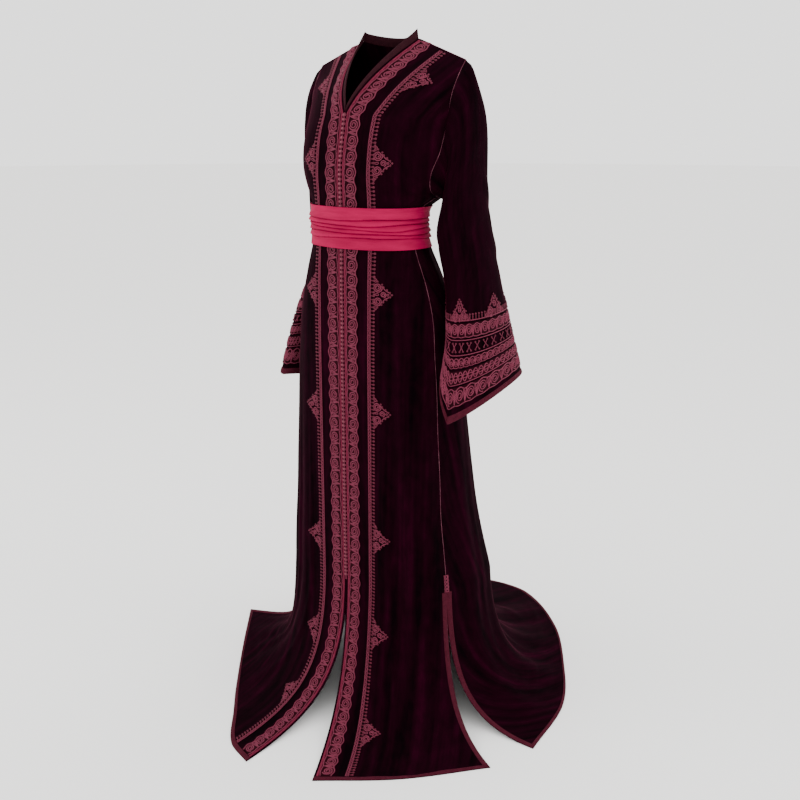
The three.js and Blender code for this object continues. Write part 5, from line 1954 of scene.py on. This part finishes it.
HEM_RIGHT = Table(HEM_FIELDS, (
    (0, -8, -481, -4, -225),
    (0.13, -84, -452, -36, -222),
    (0.3, -165, -368, -90, -200),
    (0.44, -236, -292, -140, -178),
    (0.72, -366, -143, -240, -80),
    (1, -490, 6, -330, 75),
))
HEM_LEFT = Table(HEM_FIELDS, (
    (0, 145, -444, 28, -228),
    (0.5, 286, -330, 165, -210),
    (1, 411, -187, 268, -112),
))
HEM_BACK = Table(HEM_FIELDS, (
    (0, 449, -76, 276, -84),
    (0.13, 420, 110, 312, 20),
    (0.27, 335, 273, 268, 172),
    (0.4, 222, 433, 182, 268),
    (0.55, 64, 556, 62, 322),
    (0.64, -55, 562, -50, 324),
    (0.75, -196, 508, -152, 286),
    (0.87, -306, 372, -238, 208),
    (1, -380, 172, -296, 92),
))
SLEEVE_LEFT = (
    (194, 0, 1240, 25, 6, 108, -16, -6, -112, 0, 52, 0),
    (192, 2, 1110, 37, 4, 45, -34, 0, -55, 0, 70, 0),
    (204, 24, 985, 44, 0, 8, -42, 0, -15, 0, 76, 0),
    (228, 16, 865, 46, 0, 0, -38, 0, 20, 0, 100, 8),
    (260, -12, 735, 50, -5, 26, -56, 0, 96, 0, 130, 27),
)
SLEEVE_RIGHT = (
    (190, 8, 1240, 27, 6, 108, -12, -6, -112, 0, 52, 0),
    (190, 30, 1110, 34, 0, 45, -34, 0, -55, 0, 60, 0),
    (192, 50, 980, 40, 0, 8, -40, 0, -15, 0, 74, 0),
    (230, 46, 850, 34, 0, 0, -24, 0, 8, 0, 96, -8),
    (256, 40, 700, 33, -5, 8, -36, 0, 8, 8, 124, -24),
)


class Caftan:
    """The whole garment, in the order in which it is sewn."""

    def __init__(self) -> None:
        """Sets out every sub-assembly."""
        figure, wardrobe = Figure(), Wardrobe()
        modeller = Modeller()
        self.shapes = {"knot": modeller.knot(), "picot": modeller.picot()}
        left = Front(
            figure, wardrobe, hand=Hand.LEFT, hem=HEM_LEFT, flat=(0.40, 1.82), flat_area=0.40,
            motif_places=(95, 287, 549, 801, 1087, 1312, 1534),
            folds=Table(FOLD_FIELDS, (
                (0.5, 0.36, 900, 7, 0.07), (0.62, 0.74, 1010, 12, 0.09), (0.84, 0.92, 1000, 7, 0.07))),
            small_folds=Table(FOLD_FIELDS, (
                (0.42, 0.5, 760, 3.5, 0.025), (0.72, 0.62, 690, 3.0, 0.03), (0.93, 0.84, 820, 3.0, 0.03))),
            creases=Table(CREASE_FIELDS, (
                (0.6, 23.4, 0.12, 0.35, 0.3, 1.4), (0.82, 22.6, 0.1, 0.3, -0.3, 1.2))),
        )
        right = Front(
            figure, wardrobe, hand=Hand.RIGHT, hem=HEM_RIGHT,
            motif_places=(103, 283, 553, 812, 1120, 1352, 1515),
            folds=Table(FOLD_FIELDS, ((0.62, 0.55, 940, 7, 0.1), (0.86, 0.8, 1000, 9, 0.09))),
            small_folds=Table(FOLD_FIELDS, (
                (0.5, 0.44, 800, 3.0, 0.025), (0.75, 0.68, 860, 4.0, 0.03), (0.95, 0.92, 700, 3, 0.03))),
            creases=Table(CREASE_FIELDS, (
                (0.7, 21.6, 0.13, 0.22, 0.25, 1.6), (0.78, 22.3, 0.1, 0.2, -0.2, 1.4),
                (0.66, 22.9, 0.16, 0.22, 0.2, 1.7), (0.8, 23.4, 0.09, 0.2, 0.3, 1.3),
                (0.6, 23.9, 0.12, 0.24, -0.2, 1.2), (0.86, 20.8, 0.08, 0.2, 0.2, 1.3))),
        )
        back = Back(
            figure, wardrobe, hem=HEM_BACK,
            folds=Table(FOLD_FIELDS, (
                (0.08, 0.1, 1000, 9, 0.035), (0.2, 0.22, 1010, 14, 0.045),
                (0.33, 0.35, 990, 13, 0.045), (0.47, 0.47, 1010, 15, 0.05),
                (0.6, 0.6, 990, 13, 0.045), (0.74, 0.73, 1010, 14, 0.045),
                (0.89, 0.88, 1000, 9, 0.04))),
            small_folds=Table(FOLD_FIELDS, (
                (0.14, 0.15, 840, 4, 0.016), (0.27, 0.29, 900, 4, 0.014), (0.41, 0.4, 780, 4, 0.016),
                (0.54, 0.55, 880, 4, 0.015), (0.67, 0.66, 820, 4, 0.016), (0.81, 0.8, 900, 4, 0.015))),
            creases=Table(CREASE_FIELDS, (
                (0.1, 21.2, 0.07, 0.2, 0.2, 1.6), (0.13, 21.9, 0.08, 0.18, -0.2, 1.8),
                (0.09, 22.5, 0.06, 0.2, 0.3, 1.5), (0.15, 23.1, 0.07, 0.18, 0.1, 1.7),
                (0.2, 22.2, 0.05, 0.2, -0.3, 1.3), (0.11, 23.7, 0.06, 0.2, 0.2, 1.3),
                (0.35, 22.8, 0.06, 0.22, 0.3, 1.6), (0.5, 22.2, 0.07, 0.2, -0.2, 1.8),
                (0.46, 23.4, 0.06, 0.2, 0.2, 1.5), (0.63, 22.9, 0.06, 0.22, 0.2, 1.6),
                (0.78, 22.1, 0.06, 0.2, -0.2, 1.6), (0.86, 23.0, 0.07, 0.2, 0.3, 1.6),
                (0.9, 21.4, 0.05, 0.2, 0.1, 1.3))),
        )
        self.fronts = {Hand.LEFT: left, Hand.RIGHT: right}
        self.back = back
        for panel in (left, right, back):
            panel.build()
        creases = Table(CREASE_FIELDS, (
            (0.02, 1.5, 0.1, 0.1, 0.12, 2.2), (0.95, 1.85, 0.12, 0.1, -0.15, 2.4),
            (0.05, 2.25, 0.12, 0.12, 0.15, 2.6), (0.9, 2.6, 0.1, 0.12, -0.12, 2.0),
            (0.3, 1.9, 0.1, 0.1, 0.2, 2.0), (0.7, 2.1, 0.1, 0.12, -0.2, 2.0),
            (0.5, 1.6, 0.12, 0.12, 0.1, 2.2), (0.12, 0.7, 0.08, 0.12, 0.3, 1.6)))
        self.sleeves = [
            Sleeve(figure, wardrobe, Hand.LEFT, left, back, SLEEVE_LEFT, creases),
            Sleeve(figure, wardrobe, Hand.RIGHT, right, back, SLEEVE_RIGHT, creases),
        ]
        for sleeve in self.sleeves:
            sleeve.build()
        self.closure = Closure(self.fronts, wardrobe)
        self.neckband = Neckband(self.fronts, back, wardrobe)
        self.slits = [SlitKnot(figure, wardrobe, front) for front in (left, right)]
        self.sash = Sash(figure, wardrobe)
        self.seams = Seams(self.fronts, wardrobe)

    def make(self) -> None:
        """Makes every piece."""
        for front in self.fronts.values():
            front.make(self.shapes)
        self.back.make()
        for sleeve in self.sleeves:
            sleeve.make(self.shapes)
        self.closure.make(self.shapes)
        self.neckband.make()
        for slit in self.slits:
            slit.make(self.shapes)
        self.sash.make()
        self.seams.make()


def main() -> None:
    """Builds the studio and the caftan."""
    logging.basicConfig(level=logging.INFO, format="%(name)s %(message)s")
    Studio().build()
    Caftan().make()


if __name__ == "__main__":
    main()
